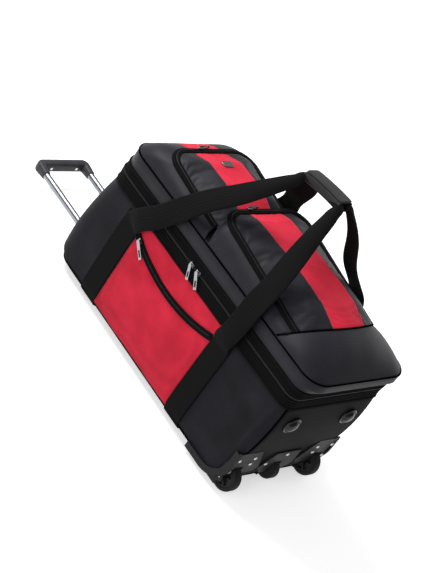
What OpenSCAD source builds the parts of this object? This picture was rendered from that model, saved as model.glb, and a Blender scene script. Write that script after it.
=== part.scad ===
// Rolling duffel bag, lying flat on its base.
// The handle end is towards -X, the wheel end towards +X, the front side towards -Y.
// Inside the modules x is counted from the handle end of the base, and placed() then
// moves every piece so that the origin is under the middle of the whole bag.

/* [Bag] */
// Length of the base, from the handle end to the wheel end
bag_l = 600; // [560:10:640]
// Width of the bag across its two long sides
bag_w = 280; // [260:5:300]
// Height of the body's top edge, where the zip band starts
body_top = 248; // [230:2:262]
// Height of the zip band between the body and the lid
band_h = 50; // [40:2:60]
// Height of the lid's side strip above the zip band
strip_h = 32; // [24:2:40]
// Thickness of the foam-backed fabric walls
wall_t = 5; // [3:0.5:8]
// Gap between the floor and the underside of the base
floor_gap = 10; // [8:1:14]

/* [Webbing] */
// Width of the webbing straps and carry handles
web_w = 50; // [38:1:60]
// Thickness of the webbing
web_t = 2.5; // [2:0.5:4]
// Where the strap nearest the handle end starts
strap_a_x = 76; // [60:1:100]
// Where the strap nearest the wheel end starts
strap_b_x = 406; // [380:1:430]
// Height of the carry handles' grip above the floor
carry_top = 533; // [500:1:560]

/* [Pull handle] */
// Distance of the grip's middle beyond the handle end of the base
grip_out = 252; // [230:1:270]
// Spacing of the two tubes
tube_gap = 128; // [100:1:150]
// Outside radius of the sliding tubes
tube_r = 8; // [7:0.5:9]
// Height of the tubes above the floor
tube_z = 48; // [44:1:56]
// How far the handle can be pushed in from where it is drawn
push_in = 180; // [100:5:180]

/* [Wheels] */
// Radius of the two corner wheels
wheel_r = 32; // [28:1:36]
// Radius of the smaller middle wheel
mid_r = 24; // [20:1:26]
// Width of the wheels across the tyre
wheel_w = 22; // [16:1:24]
// Distance of the corner wheels from the middle
wheel_y = 117; // [105:1:118]
// Radius of the axles
axle_r = 3; // [2.5:0.5:4]

/* [Hidden] */
$fn = 48;
hw = bag_w / 2;
base_z = floor_gap;
band_mid = body_top + band_h * 0.57;
band_top = body_top + band_h;
lid_seam = band_top + strip_h;
gap = 0.6;
end_bulge = 18;
end_tilt = 4.6;
wheel_x = bag_l - 6;
lid_start = -12;
lid_end = bag_l + 36;
side_y = -hw;
grip_x = -grip_out;
tube_out_r = tube_r + 2.3;
strap_a_end = strap_a_x + web_w;
mid_x = (grip_x - 11 + lid_end) / 2;
coil_h = 4;
tape_t = 2;
panel_t = 3;
liner_t = 1.1;
board_z = floor_gap + wall_t;
board_t = 4;
floor_z = 61;
pocket_slope = 7;

// ---- helpers ----

module placed() { translate([-mid_x, 0, 0]) children(); }

// points along an arc, from angle a0 to a1
function arc(cx, cy, r, a0, a1, n = 8) =
    [for (i = [0:n]) let (a = a0 + (a1 - a0) * i / n) [cx + r * cos(a), cy + r * sin(a)]];

// rectangle from x0 to x1 and of half width h, with corner radii ra at x0 and rb at x1
function plan_points(x0, x1, h, ra, rb) = concat(
    arc(x1 - rb, h - rb, rb, 0, 90), arc(x0 + ra, h - ra, ra, 90, 180),
    arc(x0 + ra, ra - h, ra, 180, 270), arc(x1 - rb, rb - h, rb, 270, 360));

// outer face of the wheel end, which leans out towards the top
function end_x(z) = bag_l + (z - 50) * tan(end_tilt);

// side outline of the body, drawn inwards by d
function side_points(d) = concat(
    [[end_x(body_top) - d / cos(end_tilt), body_top]],
    [[-end_bulge + d, body_top]],
    arc(-end_bulge + 40, base_z + 40, 40 - d, 180, 270),
    arc(end_x(base_z + 24) - 24 / cos(end_tilt), base_z + 24, 24 - d, 270, 360 - end_tilt));

// cross outline of the body, drawn inwards by d
function cross_points(d) = concat(
    [[hw - d, body_top], [d - hw, body_top]],
    arc(16 - hw, base_z + 16, 16 - d, 180, 270, 5),
    arc(hw - 16, base_z + 16, 16 - d, 270, 360, 5));

// the body as one solid, drawn inwards by d
module body_solid(d) {
    intersection() {
        linear_extrude(body_top)
            polygon(plan_points(-end_bulge + d, bag_l + 20 - d, hw - d, 45 - d, 22 - d));
        translate([0, hw, 0]) rotate([90, 0, 0]) linear_extrude(bag_w) polygon(side_points(d));
        translate([-50, 0, 0]) rotate([90, 0, 90]) linear_extrude(bag_l + 100)
            polygon(cross_points(d));
    }
}

// room in the body for the three wheel housings, drawn larger by g
module wheel_room(g = 0) {
    for (s = [-1, 1])
        translate([wheel_x - 42 - g, s * wheel_y - 26 - g, 0]) cube([90, 52 + 2 * g, 74 + g]);
    translate([wheel_x - 34 - g, -20 - g, 0]) cube([90, 40 + 2 * g, 66 + g]);
}

// holes for the two outer tubes
module tube_holes() {
    for (s = [-1, 1])
        translate([-60, s * tube_gap / 2, tube_z]) rotate([0, 90, 0])
            cylinder(r = tube_out_r, h = 120);
}

// what is left of the body's shell between x0 and x1
module shell_slice(x0, x1, y0, y1, z0, z1) {
    difference() {
        intersection() {
            body_solid(0);
            translate([x0, y0, z0]) cube([x1 - x0, y1 - y0, z1 - z0]);
        }
        body_solid(wall_t);
        wheel_room();
        tube_holes();
    }
}

// ---- body ----

module front_wall() {
    color("#26262b") placed() shell_slice(30, 572, -hw - 1, -hw + wall_t, base_z + 16, body_top);
}

module rear_wall() {
    color("#26262b") placed() shell_slice(30, 572, hw - wall_t, hw + 1, base_z + 16, body_top);
}

module handle_end_wall() {
    color("#232327") placed() shell_slice(-40, 30, -hw - 1, hw + 1, 0, body_top);
}

module wheel_end_wall() {
    color("#1c1c20") placed() shell_slice(572, bag_l + 60, -hw - 1, hw + 1, 0, body_top);
}

module base_panel() {
    color("#1a1a1d") placed() shell_slice(30, 572, -hw - 1, hw + 1, 0, base_z + 16);
}

// stiff board that the tubes and the wheel housings are screwed to
module base_board() {
    color("#5b4a38") placed() difference() {
        translate([26, -120, board_z]) cube([546, 240, board_t]);
        wheel_room();
    }
}

// foam strips that fill the floor beside the tubes
module base_foam() {
    color("#3c3c40") placed() difference() {
        translate([26, -120, board_z + board_t]) cube([499, 240, floor_z - board_z - board_t]);
        for (s = [-1, 1])
            translate([0, s * tube_gap / 2 - 14, 0]) cube([560, 28, floor_z + 1]);
    }
}

// thin cloth liner: the walls, a floor over the foam, and covers over the wheel housings
module lining() {
    color("#54545c") placed() difference() {
        body_solid(wall_t);
        translate([-60, -hw, 0]) cube([bag_l + 120, bag_w, floor_z]);
        translate([-60, -hw, body_top - 2]) cube([bag_l + 120, bag_w, 10]);
        wheel_room();
        difference() {
            body_solid(wall_t + liner_t);
            translate([-60, -hw, 0]) cube([bag_l + 120, bag_w, floor_z + liner_t]);
            wheel_room(liner_t);
        }
    }
}

// band of zip tape with half of the zip's coil along its edge
module zip_ring(x0, x1, ra, rb, z0, z1, coil_z0, coil_z1) {
    difference() {
        union() {
            translate([0, 0, z0]) linear_extrude(z1 - z0) polygon(plan_points(x0, x1, hw, ra, rb));
            translate([0, 0, coil_z0]) linear_extrude(coil_z1 - coil_z0)
                polygon(plan_points(x0 - 1, x1 + 1, hw + 1, ra + 1, rb + 1));
        }
        translate([0, 0, z0 - 1]) linear_extrude(z1 - z0 + 2)
            polygon(plan_points(x0 + tape_t, x1 - tape_t, hw - tape_t, ra - tape_t, rb - tape_t));
    }
}

module body_zip_tape() {
    color("#151517") placed()
        zip_ring(-end_bulge + 1, bag_l + 17, 45, 22, body_top, band_mid - gap / 2,
                 band_mid - coil_h / 2, band_mid - gap / 2);
}

// red panel with its lower and upper edge on the front or rear side
module red_panel(s) {
    translate([strap_a_end, s > 0 ? hw : -hw - tape_t, base_z + 17])
        cube([strap_b_x - strap_a_end, tape_t, body_top - base_z - 19]);
}

module front_red_panel() { color("#d8344a") placed() red_panel(-1); }

module rear_red_panel() { color("#d8344a") placed() red_panel(1); }

// webbing band from the front, under the base and up the rear
module strap_band(x0) {
    translate([x0, 0, 0]) rotate([90, 0, 90]) linear_extrude(web_w) difference() {
        polygon(concat([[hw + web_t, body_top - 4], [-hw - web_t, body_top - 4]],
            arc(16 - hw, base_z + 16, 16 + web_t, 180, 270, 5),
            arc(hw - 16, base_z + 16, 16 + web_t, 270, 360, 5)));
        polygon(concat([[hw, body_top], [-hw, body_top]],
            arc(16 - hw, base_z + 16, 16, 180, 270, 5),
            arc(hw - 16, base_z + 16, 16, 270, 360, 5)));
    }
}

module handle_end_strap() { color("#161617") placed() strap_band(strap_a_x); }

module wheel_end_strap() { color("#161617") placed() strap_band(strap_b_x); }

// the curved front pocket zip is part of a circle
pocket_arc_x = 268;
pocket_arc_r = 360;
pocket_arc_z = 188 + pocket_arc_r;
pocket_arc_half = 21.9;

module front_pocket_zip() {
    color("#151517") placed()
        translate([pocket_arc_x, side_y - tape_t, pocket_arc_z]) rotate([90, 0, 0])
            rotate([0, 0, -90 - pocket_arc_half])
                rotate_extrude(angle = 2 * pocket_arc_half, $fn = 180) {
                    translate([pocket_arc_r - 7, 0]) square([14, 1.4]);
                    translate([pocket_arc_r - 2, 0]) square([4, 2.2]);
                }
}

// ---- pull handle parts that stay in the bag ----

outer_start = -end_bulge + 1;
outer_end = 532;

module outer_tubes() {
    color("#9aa0a6") placed() for (s = [-1, 1])
        translate([outer_start, s * tube_gap / 2, tube_z]) rotate([0, 90, 0]) difference() {
            cylinder(r = tube_out_r, h = outer_end - outer_start);
            translate([0, 0, -1]) cylinder(r = tube_r + 0.3, h = outer_end - outer_start + 2);
        }
}

module tube_bezel() {
    color("#1b1b1d") placed() difference() {
        translate([-end_bulge - 6, -tube_gap / 2 - 24, tube_z - 17])
            cube([6, tube_gap + 48, 36]);
        for (s = [-1, 1])
            translate([-60, s * tube_gap / 2, tube_z]) rotate([0, 90, 0])
                cylinder(r = tube_r + 0.6, h = 60);
    }
}

// bracket that holds the inner ends of the outer tubes on the base board
module tube_bracket() {
    color("#2a2a2c") placed() difference() {
        translate([outer_end - 7, -tube_gap / 2 - 22, board_z + board_t])
            cube([14, tube_gap + 44, floor_z - board_z - board_t]);
        for (s = [-1, 1])
            translate([outer_end - 20, s * tube_gap / 2, tube_z]) rotate([0, 90, 0])
                cylinder(r = tube_out_r, h = 20);
    }
}

// ---- corner guards and wheels ----

guard_cx = bag_l - 55;
guard_cz = 74;

// the L-shaped band that guards the corner on the side face
module guard_band_2d() {
    difference() {
        union() {
            translate([498, base_z]) square([guard_cx - 498, 14]);
            translate([guard_cx + 49, guard_cz]) square([15, 34]);
            intersection() {
                translate([guard_cx, guard_cz]) circle(r = 64);
                translate([guard_cx, base_z - 1]) square([70, guard_cz - base_z + 1]);
            }
        }
        translate([guard_cx, guard_cz]) circle(r = 49);
    }
}

// a slab that follows the leaning wheel end, t0 to t1 in front of it
module end_slab(t0, t1, z0, z1) {
    translate([0, hw + 20, 0]) rotate([90, 0, 0]) linear_extrude(bag_w + 40)
        polygon([[end_x(z0) + t0, z0], [end_x(z0) + t1, z0],
                 [end_x(z1) + t1, z1], [end_x(z1) + t0, z1]]);
}

// the front guard; the rear one is its mirror image
module corner_guard() {
    wheel_in = wheel_w / 2 + 1.5;
    difference() {
        union() {
            translate([0, -hw, 0]) rotate([90, 0, 0]) linear_extrude(6) guard_band_2d();
            translate([wheel_x - 38, -hw, base_z + 1]) cube([38, 46, 62]);
            translate([wheel_x, -hw, wheel_r]) rotate([-90, 0, 0]) cylinder(r = 10, h = 46);
            intersection() {
                end_slab(0, 4, 24, 112);
                translate([bag_l - 20, 0, 0]) rotate([90, 0, 90]) linear_extrude(60)
                    polygon([[-hw - 6, 112], [-84, 112], [-54, 56], [-62, 44], [-hw - 6, 44]]);
            }
        }
        translate([wheel_x, -wheel_y - wheel_in, wheel_r]) rotate([-90, 0, 0])
            cylinder(r = wheel_r + 3, h = 2 * wheel_in, $fn = 64);
        translate([wheel_x, -wheel_y - wheel_in, -1]) cube([60, 2 * wheel_in, wheel_r + 36]);
        translate([wheel_x, -hw - 10, wheel_r]) rotate([-90, 0, 0]) cylinder(r = axle_r, h = 80);
    }
}

module front_corner_guard() { color("#2c2c2e") placed() corner_guard(); }

module rear_corner_guard() { color("#2c2c2e") placed() mirror([0, 1, 0]) corner_guard(); }

mid_z = 34;

module middle_wheel_housing() {
    half = wheel_w / 2 + 1.5;
    color("#232325") placed() difference() {
        union() {
            translate([wheel_x - 32, -half - 5, base_z + 1]) cube([32, 2 * half + 10, 54]);
            translate([wheel_x, -half - 5, mid_z]) rotate([-90, 0, 0])
                cylinder(r = 9, h = 2 * half + 10);
            intersection() {
                end_slab(0, 4, 24, 92);
                translate([bag_l - 20, 0, 0]) rotate([90, 0, 90]) linear_extrude(60)
                    polygon([[-52, 50], [-26, 92], [44, 92], [52, 50], [30, 30], [-30, 30]]);
            }
        }
        translate([wheel_x, -half, mid_z]) rotate([-90, 0, 0])
            cylinder(r = mid_r + 3, h = 2 * half, $fn = 64);
        translate([wheel_x, -half, -1]) cube([60, 2 * half, mid_z + mid_r + 4]);
        translate([wheel_x, -60, mid_z]) rotate([-90, 0, 0]) cylinder(r = axle_r, h = 120);
    }
}

module wheel_axles() {
    color("#b9bcc0") placed() {
        for (s = [-1, 1])
            translate([wheel_x, s * wheel_y - 21.5, wheel_r]) rotate([-90, 0, 0])
                cylinder(r = axle_r, h = 43);
        translate([wheel_x, -17, mid_z]) rotate([-90, 0, 0]) cylinder(r = axle_r, h = 34);
    }
}

// where the rivets sit on the wheel end, as [y, z]
rivet_places = [[-136, 92], [-92, 92], [-92, 74], [-136, 56], [8, 84], [-38, 62],
                [136, 92], [92, 92], [92, 74], [136, 56]];

module guard_rivets() {
    color("#c8cacc") placed() for (p = rivet_places)
        translate([end_x(p[1]) + 4, p[0], p[1]]) rotate([0, 90 + end_tilt, 0]) {
            cylinder(r = 4, h = 1);
            translate([0, 0, 1]) cylinder(r1 = 4, r2 = 2.4, h = 1.2, $fn = 24);
        }
}

module end_feet() {
    color("#19191b") placed() for (s = [-1, 1])
        translate([end_x(200), s * 83, 200]) rotate([0, 90 + end_tilt, 0]) rotate_extrude()
            polygon(concat([[0, 0], [20, 0], [20, 3], [17.5, 4.5]], arc(0, -9, 20, 42, 90, 6)));
}

module base_feet() {
    color("#19191b") placed() for (s = [-1, 1])
        translate([50, s * 96, 0]) cylinder(r1 = 12, r2 = 15, h = base_z);
}

// tyre with rounded shoulders
module tyre(r, w, bore) {
    rotate([90, 0, 0]) rotate_extrude($fn = 72)
        polygon(concat([[bore, -w / 2]], arc(r - 5, -w / 2 + 5, 5, 270, 360, 5),
                       arc(r - 5, w / 2 - 5, 5, 0, 90, 5), [[bore, w / 2]]));
}

// spoked hub with a bore for the axle
module hub(r, w) {
    rotate([90, 0, 0]) difference() {
        translate([0, 0, -w / 2]) cylinder(r = r, h = w, $fn = 72);
        for (s = [-1, 1]) translate([0, 0, s * w / 2]) difference() {
            cylinder(r = r - 3, h = 10, center = true, $fn = 72);
            cylinder(r = 7, h = 12, center = true);
            for (i = [0:4]) rotate([0, 0, 72 * i + 18]) translate([0, -2, -6]) cube([r, 4, 12]);
        }
        cylinder(r = axle_r + 0.05, h = w + 2, center = true);
    }
}

module front_tyre() {
    color("#17171a") placed() translate([wheel_x, -wheel_y, wheel_r]) tyre(wheel_r, wheel_w, 23);
}

module front_hub() {
    color("#3a3a3e") placed() translate([wheel_x, -wheel_y, wheel_r]) hub(23, wheel_w - 3);
}

module rear_tyre() {
    color("#17171a") placed() translate([wheel_x, wheel_y, wheel_r]) tyre(wheel_r, wheel_w, 23);
}

module rear_hub() {
    color("#3a3a3e") placed() translate([wheel_x, wheel_y, wheel_r]) hub(23, wheel_w - 3);
}

module middle_wheel() {
    color("#1a1a1c") placed() translate([wheel_x, 0, mid_z])
        tyre(mid_r, wheel_w, axle_r + 0.05);
}

// ---- lid ----

module lid_zip_tape() {
    color("#151517") placed()
        zip_ring(lid_start - 1, bag_l + 24, 45, 24, band_mid + gap / 2, band_top,
                 band_mid + gap / 2, band_mid + coil_h / 2);
}

module lid_strip() {
    color("#26262b") placed() translate([0, 0, band_top]) linear_extrude(strip_h) difference() {
        polygon(plan_points(lid_start, lid_end, hw, 46, 42));
        polygon(plan_points(lid_start + wall_t, lid_end - wall_t, hw - wall_t, 41, 37));
    }
}

module lid_panel() {
    color("#2e2e33") placed() translate([0, 0, lid_seam]) linear_extrude(panel_t)
        polygon(plan_points(lid_start, lid_end, hw, 46, 42));
}

// thin slice of an outline, used as one end of a hull
module slice(z, x0, x1, h, ra, rb) {
    translate([0, 0, z]) linear_extrude(0.5) polygon(plan_points(x0, x1, h, ra, rb));
}

// frame of a pocket's zip: its plane slopes down from the pocket's curved end
module zip_plane(x0, z0) { translate([x0, 0, z0]) rotate([0, pocket_slope, 0]) children(); }

pocket_h = 108;
one_x0 = 58;
one_x1 = 244;
one_z = 372;
two_x0 = 246;
two_x1 = 524;
two_z = 386;
one_rise = 13;
one_top0 = 106;
one_top1 = 206;
two_rise = 9;
two_top0 = 298;
two_top1 = 496;
lid_z = lid_seam + panel_t;

// the side gusset of a pocket, from its footprint on the lid up to its zip
module pocket_gusset(d, x0, x1, foot0, foot1, z0, ra) {
    hull() {
        slice(lid_z, foot0 + d, foot1 - d, hw - d, ra - d, 3);
        zip_plane(x0, z0) slice(-3.6, d, x1 - x0 - d, pocket_h - d, 38 - d, 3);
    }
}

// the padded top of a pocket: it starts above the zip and ends level, rise above the zip's end
module pocket_crown(d, x0, x1, z0, rise, top0, top1) {
    hull() {
        zip_plane(x0, z0) slice(3, 1 + d, x1 - x0 - d, pocket_h - 1 - d, 37 - d, 3);
        slice(z0 + rise - 6.5 - d, x0 + 16, x1 - 14 - d, 84, 30, 10);
        slice(z0 + rise - 0.5 - d, top0, top1, 56, 20, 10);
    }
}

module pocket_shell(x0, x1, foot0, foot1, z0, ra, rise, top0, top1) {
    difference() {
        pocket_gusset(0, x0, x1, foot0, foot1, z0, ra);
        translate([0, 0, -0.6]) pocket_gusset(panel_t, x0, x1, foot0, foot1, z0, ra);
        zip_plane(x0, z0) translate([0, 0, -5])
            linear_extrude(6) polygon(plan_points(3, x1 - x0 - 3, pocket_h - 3, 35, 2));
    }
    difference() {
        pocket_crown(0, x0, x1, z0, rise, top0, top1);
        translate([0, 0, -0.6]) pocket_crown(panel_t, x0, x1, z0, rise, top0, top1);
    }
}

module lid_pocket_one() {
    color("#37373d") placed()
        pocket_shell(one_x0, one_x1, lid_start, 262, one_z, 46, one_rise, one_top0, one_top1);
}

module lid_pocket_two() {
    color("#37373d") placed()
        pocket_shell(two_x0, two_x1, 266, 528, two_z, 6, two_rise, two_top0, two_top1);
}

// U-shaped band of zip tape between a pocket's gusset and its top
module pocket_zip(x0, x1, z0) {
    zip_plane(x0, z0) translate([0, 0, -3]) linear_extrude(6) difference() {
        polygon(plan_points(-1, x1 - x0, pocket_h + 1, 39, 3));
        polygon(plan_points(4, x1 - x0 + 10, pocket_h - 4, 34, 2));
    }
}

module pocket_one_zip() { color("#151517") placed() pocket_zip(one_x0, one_x1, one_z); }

module pocket_two_zip() { color("#151517") placed() pocket_zip(two_x0, two_x1, two_z); }

module end_cap_solid(d) {
    hull() {
        slice(lid_z, 529 + d, lid_end - d, hw - d, 3, 42 - d);
        slice(lid_z + 18 - d, 529 + d, lid_end - 8 - d, 128 - d, 3, 42 - d);
        slice(lid_z + 36 - d, 529 + d, lid_end - 40 - d, 100 - d, 3, 40 - d);
        slice(lid_z + 46 - d, 529 + d, lid_end - 76 - d, 60 - d, 3, 30);
    }
}

module lid_end_cap() {
    color("#2e2e33") placed() difference() {
        end_cap_solid(0);
        translate([0, 0, -0.6]) end_cap_solid(panel_t);
    }
}

stripe_h = 46;
stripe_t = 1.2;

module lid_stripe() {
    color("#d8344a") placed() {
        translate([one_top0 + 2, -stripe_h, one_z + one_rise])
            cube([one_top1 - one_top0 - 4, 2 * stripe_h, stripe_t]);
        translate([two_top0 + 2, -stripe_h, two_z + two_rise])
            cube([two_top1 - two_top0 - 4, 2 * stripe_h, stripe_t]);
    }
}

// a plain blank plate
module badge() {
    color("#d5d7da") placed() translate([one_top0 + 4, 0, one_z + one_rise + stripe_t])
        linear_extrude(2) polygon(plan_points(0, 16, 14, 5, 5));
}

// ---- carry handles ----

// One station along a webbing loop: [place, width, face normal].
handle_left = [
    [[102, -hw - 6.5, 232], web_w, [0, -1, 0]],
    [[107, -hw - 15, 244], web_w, [0, -1, 0]],
    [[120, -hw - 18, 262], web_w, [0, -1, 0]],
    [[152, -hw - 19, 298], web_w, [0, -1, 0.1]],
    [[186, -hw - 12, 345], web_w, [0, -1, 0.3]],
    [[212, -hw + 10, 388], web_w, [0, -1, 0.7]],
    [[238, -91, 430], 46, [0, -1, 0.8]],
    [[262, -60, 472], 38, [0, -1, 0.8]],
    [[280, -30, 508], 30, [0, -1, 1]],
    [[296, -14, 530], 22, [0, -0.3, 1]]];
handle_right = [
    [[376, -14, 537], 22, [0, -0.3, 1]],
    [[389, -30, 514], 30, [0, -1, 1]],
    [[402, -58, 476], 38, [0, -1, 0.8]],
    [[416, -91, 432], 46, [0, -1, 0.8]],
    [[429, -hw + 14, 392], web_w, [0, -1, 0.7]],
    [[436, -hw - 11, 350], web_w, [0, -1, 0.3]],
    [[438, -hw - 19, 300], web_w, [0, -1, 0.1]],
    [[434, -hw - 18, 262], web_w, [0, -1, 0]],
    [[432, -hw - 15, 244], web_w, [0, -1, 0]],
    [[431, -hw - 6.5, 232], web_w, [0, -1, 0]]];

function unit(v) = v / norm(v);

// the four corners of the webbing at station i of the list s
function web_ring(s, i) =
    let (n = len(s) - 1,
         t = unit(s[min(i + 1, n)][0] - s[max(i - 1, 0)][0]),
         across = unit(cross(t, s[i][2])) * s[i][1] / 2,
         up = unit(cross(across, t)) * web_t / 2)
    [s[i][0] + across + up, s[i][0] - across + up, s[i][0] - across - up, s[i][0] + across - up];

// webbing swept through the stations of s
module webbing(s) {
    n = len(s);
    points = [for (i = [0:n - 1]) each web_ring(s, i)];
    sides = [for (i = [0:n - 2]) for (k = [0:3])
        for (f = [[4 * i + k, 4 * i + (k + 1) % 4, 4 * i + 4 + k],
                  [4 * i + (k + 1) % 4, 4 * i + 4 + (k + 1) % 4, 4 * i + 4 + k]]) f];
    ends = [[0, 3, 2], [0, 2, 1], [4 * n - 4, 4 * n - 3, 4 * n - 2], [4 * n - 4, 4 * n - 2, 4 * n - 1]];
    polyhedron(points, concat(sides, ends), convexity = 6);
}

module carry_webbing() { webbing(concat(handle_left, handle_right)); }

module front_carry_webbing() { color("#171718") placed() carry_webbing(); }

module rear_carry_webbing() { color("#171718") placed() mirror([0, 1, 0]) carry_webbing(); }

// front half of the padded wrap, split where its flap closes
module wrap_half() {
    translate([336, 0, carry_top]) rotate([0, -5.5, 0]) translate([-54, 0, 0])
        rotate([90, 0, 90]) linear_extrude(108) difference() {
            polygon(concat([[-0.4, -14]], [[-0.4, 14]],
                arc(-19, 5, 9, 90, 180, 5), arc(-19, -5, 9, 180, 270, 5)));
            translate([-24, -8]) square([23, 16]);
        }
}

module front_wrap_half() { color("#1d1d1f") placed() wrap_half(); }

module rear_wrap_half() { color("#1d1d1f") placed() mirror([0, 1, 0]) wrap_half(); }

// ---- sliding part of the pull handle ----

sleeve_end = -end_bulge - 6 - push_in - 1;
inner_end = 270;
grip_half = tube_gap / 2 + 12;

module pull_grip() {
    color("#4a4a4d") placed() difference() {
        union() {
            translate([grip_x - 10, grip_half, tube_z]) rotate([90, 0, 0])
                linear_extrude(2 * grip_half)
                    polygon(concat(arc(14, 7, 6, 0, 90, 4), arc(6, 7, 6, 90, 180, 4),
                                   arc(6, -7, 6, 180, 270, 4), arc(14, -7, 6, 270, 360, 4)));
            for (s = [-1, 1])
                translate([grip_x, s * tube_gap / 2, tube_z]) rotate([0, 90, 0])
                    cylinder(r = tube_r + 3, h = sleeve_end - grip_x);
        }
        for (s = [-1, 1])
            translate([grip_x + 2, s * tube_gap / 2, tube_z]) rotate([0, 90, 0])
                cylinder(r = tube_r, h = 80);
        translate([grip_x - 12, -22.4, tube_z - 6.4]) cube([11.2, 44.8, 12.8]);
        for (s = [-1, 1])
            translate([grip_x - 5.8, s * tube_gap / 2 - 4, tube_z - 4]) cube([8.6, 8, 8]);
        translate([grip_x - 5.8, -tube_gap / 2 - 4, tube_z - 4]) cube([6.2, tube_gap + 8, 8]);
        for (s = [-1, 1])
            translate([grip_x + 6, s * 36, tube_z]) rotate([0, 90, 0]) cylinder(r = 2, h = 10);
    }
}

module inner_tubes() {
    color("#c9ccd0") placed() for (s = [-1, 1])
        translate([grip_x + 2, s * tube_gap / 2, tube_z]) rotate([0, 90, 0]) difference() {
            cylinder(r = tube_r, h = inner_end - grip_x - 2);
            translate([0, 0, -1]) cylinder(r = tube_r - 1.4, h = inner_end - grip_x);
        }
}

pin_r = 2.5;

// plastic plug in the end of each sliding tube, with a cross bore for its lock pin
module lock_plugs() {
    color("#202022") placed() for (s = [-1, 1])
        translate([inner_end - 30, s * tube_gap / 2, tube_z]) difference() {
            rotate([0, 90, 0]) cylinder(r = tube_r - 1.4, h = 29);
            translate([15, 0, -3]) cylinder(r = pin_r + 0.3, h = 20);
        }
}

// the pins sit flush with the plug, in a cross bore that opens upwards
module lock_pin(s) {
    translate([inner_end - 15, s * tube_gap / 2, tube_z + 1]) cylinder(r = pin_r, h = 5);
}

module front_lock_pin() { color("#b9bcc0") placed() lock_pin(-1); }

module rear_lock_pin() { color("#b9bcc0") placed() lock_pin(1); }

module grip_screws() {
    color("#c8cacc") placed() for (s = [-1, 1])
        translate([grip_x + 6, s * 36, tube_z]) rotate([0, 90, 0]) {
            cylinder(r = 2, h = 4);
            translate([0, 0, 4]) cylinder(r = 3.4, h = 1.4);
        }
}

// push button with the cross bar behind it and a rod down each tube to the lock pins
module release_button() {
    color("#2a2a2c") placed() {
        translate([grip_x - 11, -22, tube_z - 6]) cube([5.6, 44, 12]);
        translate([grip_x - 5.4, -tube_gap / 2 - 2, tube_z - 2]) cube([1.2, tube_gap + 4, 4]);
        for (s = [-1, 1])
            translate([grip_x - 4.2, s * tube_gap / 2, tube_z]) rotate([0, 90, 0])
                cylinder(r = 2, h = inner_end - 36 - grip_x);
    }
}

// ---- zip sliders and pulls, drawn around the origin, lying in the x-z plane ----

// slider body with a raised bridge; its back is at y = 0
module slider_body() {
    translate([-6, -3, -4.5]) cube([12, 3, 9]);
    translate([-4, -5.2, -1.2]) cube([8, 2.2, 2.4]);
}

// pull that hangs from the bridge, turned by a towards +x
module slider_pull(a, l, w) {
    rotate([0, -a, 0]) difference() {
        union() {
            translate([-w / 2, -7.4, -l]) cube([w, 1.6, l - 1]);
            rotate([90, 0, 0]) translate([0, 0, 5.8]) cylinder(r = w / 2, h = 1.6);
        }
        translate([-w / 4, -9, 5 - l]) cube([w / 2, 4, l * 0.4]);
    }
}

main_one_x = 272;
main_two_x = 294;
main_y = -hw - 1.6;

module main_slider_one() {
    color("#d5d7da") placed() translate([main_one_x, main_y, band_mid]) slider_body();
}

module main_slider_two() {
    color("#d5d7da") placed() translate([main_two_x, main_y, band_mid]) slider_body();
}

module main_pull_one() {
    color("#d5d7da") placed() translate([main_one_x, main_y, band_mid]) slider_pull(24, 30, 7);
}

module main_pull_two() {
    color("#d5d7da") placed() translate([main_two_x, main_y, band_mid]) slider_pull(36, 32, 8);
}

// the front pocket's slider starts at the handle end of its arc
front_slider_a = -20.4;
front_slider_x = pocket_arc_x + pocket_arc_r * sin(front_slider_a);
front_slider_z = pocket_arc_z - pocket_arc_r * cos(front_slider_a);
front_slider_y = -hw - tape_t - 2.6;

module front_pocket_slider() {
    color("#d5d7da") placed() translate([front_slider_x, front_slider_y, front_slider_z])
        rotate([0, -front_slider_a, 0]) slider_body();
}

module front_pocket_pull() {
    color("#d5d7da") placed() translate([front_slider_x, front_slider_y, front_slider_z])
        slider_pull(52, 36, 8);
}

// place of a lid pocket's slider, on the curved end of its zip
module lid_zip_place(x0, z0, y) { zip_plane(x0, z0) translate([-1.4, y, 0]) children(); }

module lid_slider() {
    translate([-4, -6, -4]) cube([4, 12, 8]);
    translate([-6.2, -4, -1.2]) cube([2.2, 8, 2.4]);
}

// pull that lies along the zip, hinged at y = 0
module lid_pull() {
    difference() {
        translate([-8, 0, -3.5]) cube([1.5, 28, 7]);
        translate([-9, 12, -1.5]) cube([4, 12, 3]);
    }
}

slider_one_y = -24;
slider_two_y = -40;

module pocket_one_slider() {
    color("#d5d7da") placed() lid_zip_place(one_x0, one_z, slider_one_y) lid_slider();
}

module pocket_one_pull() {
    color("#d5d7da") placed() lid_zip_place(one_x0, one_z, slider_one_y) lid_pull();
}

module pocket_two_slider() {
    color("#d5d7da") placed() lid_zip_place(two_x0, two_z, slider_two_y) lid_slider();
}

module pocket_two_pull() {
    color("#d5d7da") placed() lid_zip_place(two_x0, two_z, slider_two_y) lid_pull();
}

front_wall();
rear_wall();
handle_end_wall();
wheel_end_wall();
base_panel();
base_board();
base_foam();
lining();
body_zip_tape();
front_red_panel();
rear_red_panel();
handle_end_strap();
wheel_end_strap();
front_pocket_zip();
outer_tubes();
tube_bezel();
tube_bracket();
front_corner_guard();
rear_corner_guard();
middle_wheel_housing();
wheel_axles();
guard_rivets();
end_feet();
base_feet();
lid_strip();
lid_zip_tape();
lid_panel();
lid_pocket_one();
lid_pocket_two();
lid_end_cap();
lid_stripe();
pocket_one_zip();
pocket_two_zip();
badge();
front_carry_webbing();
front_wrap_half();
rear_carry_webbing();
rear_wrap_half();
pull_grip();
inner_tubes();
lock_plugs();
grip_screws();
release_button();
front_lock_pin();
rear_lock_pin();
front_tyre();
front_hub();
middle_wheel();
rear_tyre();
rear_hub();
main_slider_one();
main_slider_two();
main_pull_one();
main_pull_two();
front_pocket_slider();
front_pocket_pull();
pocket_one_slider();
pocket_one_pull();
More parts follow.
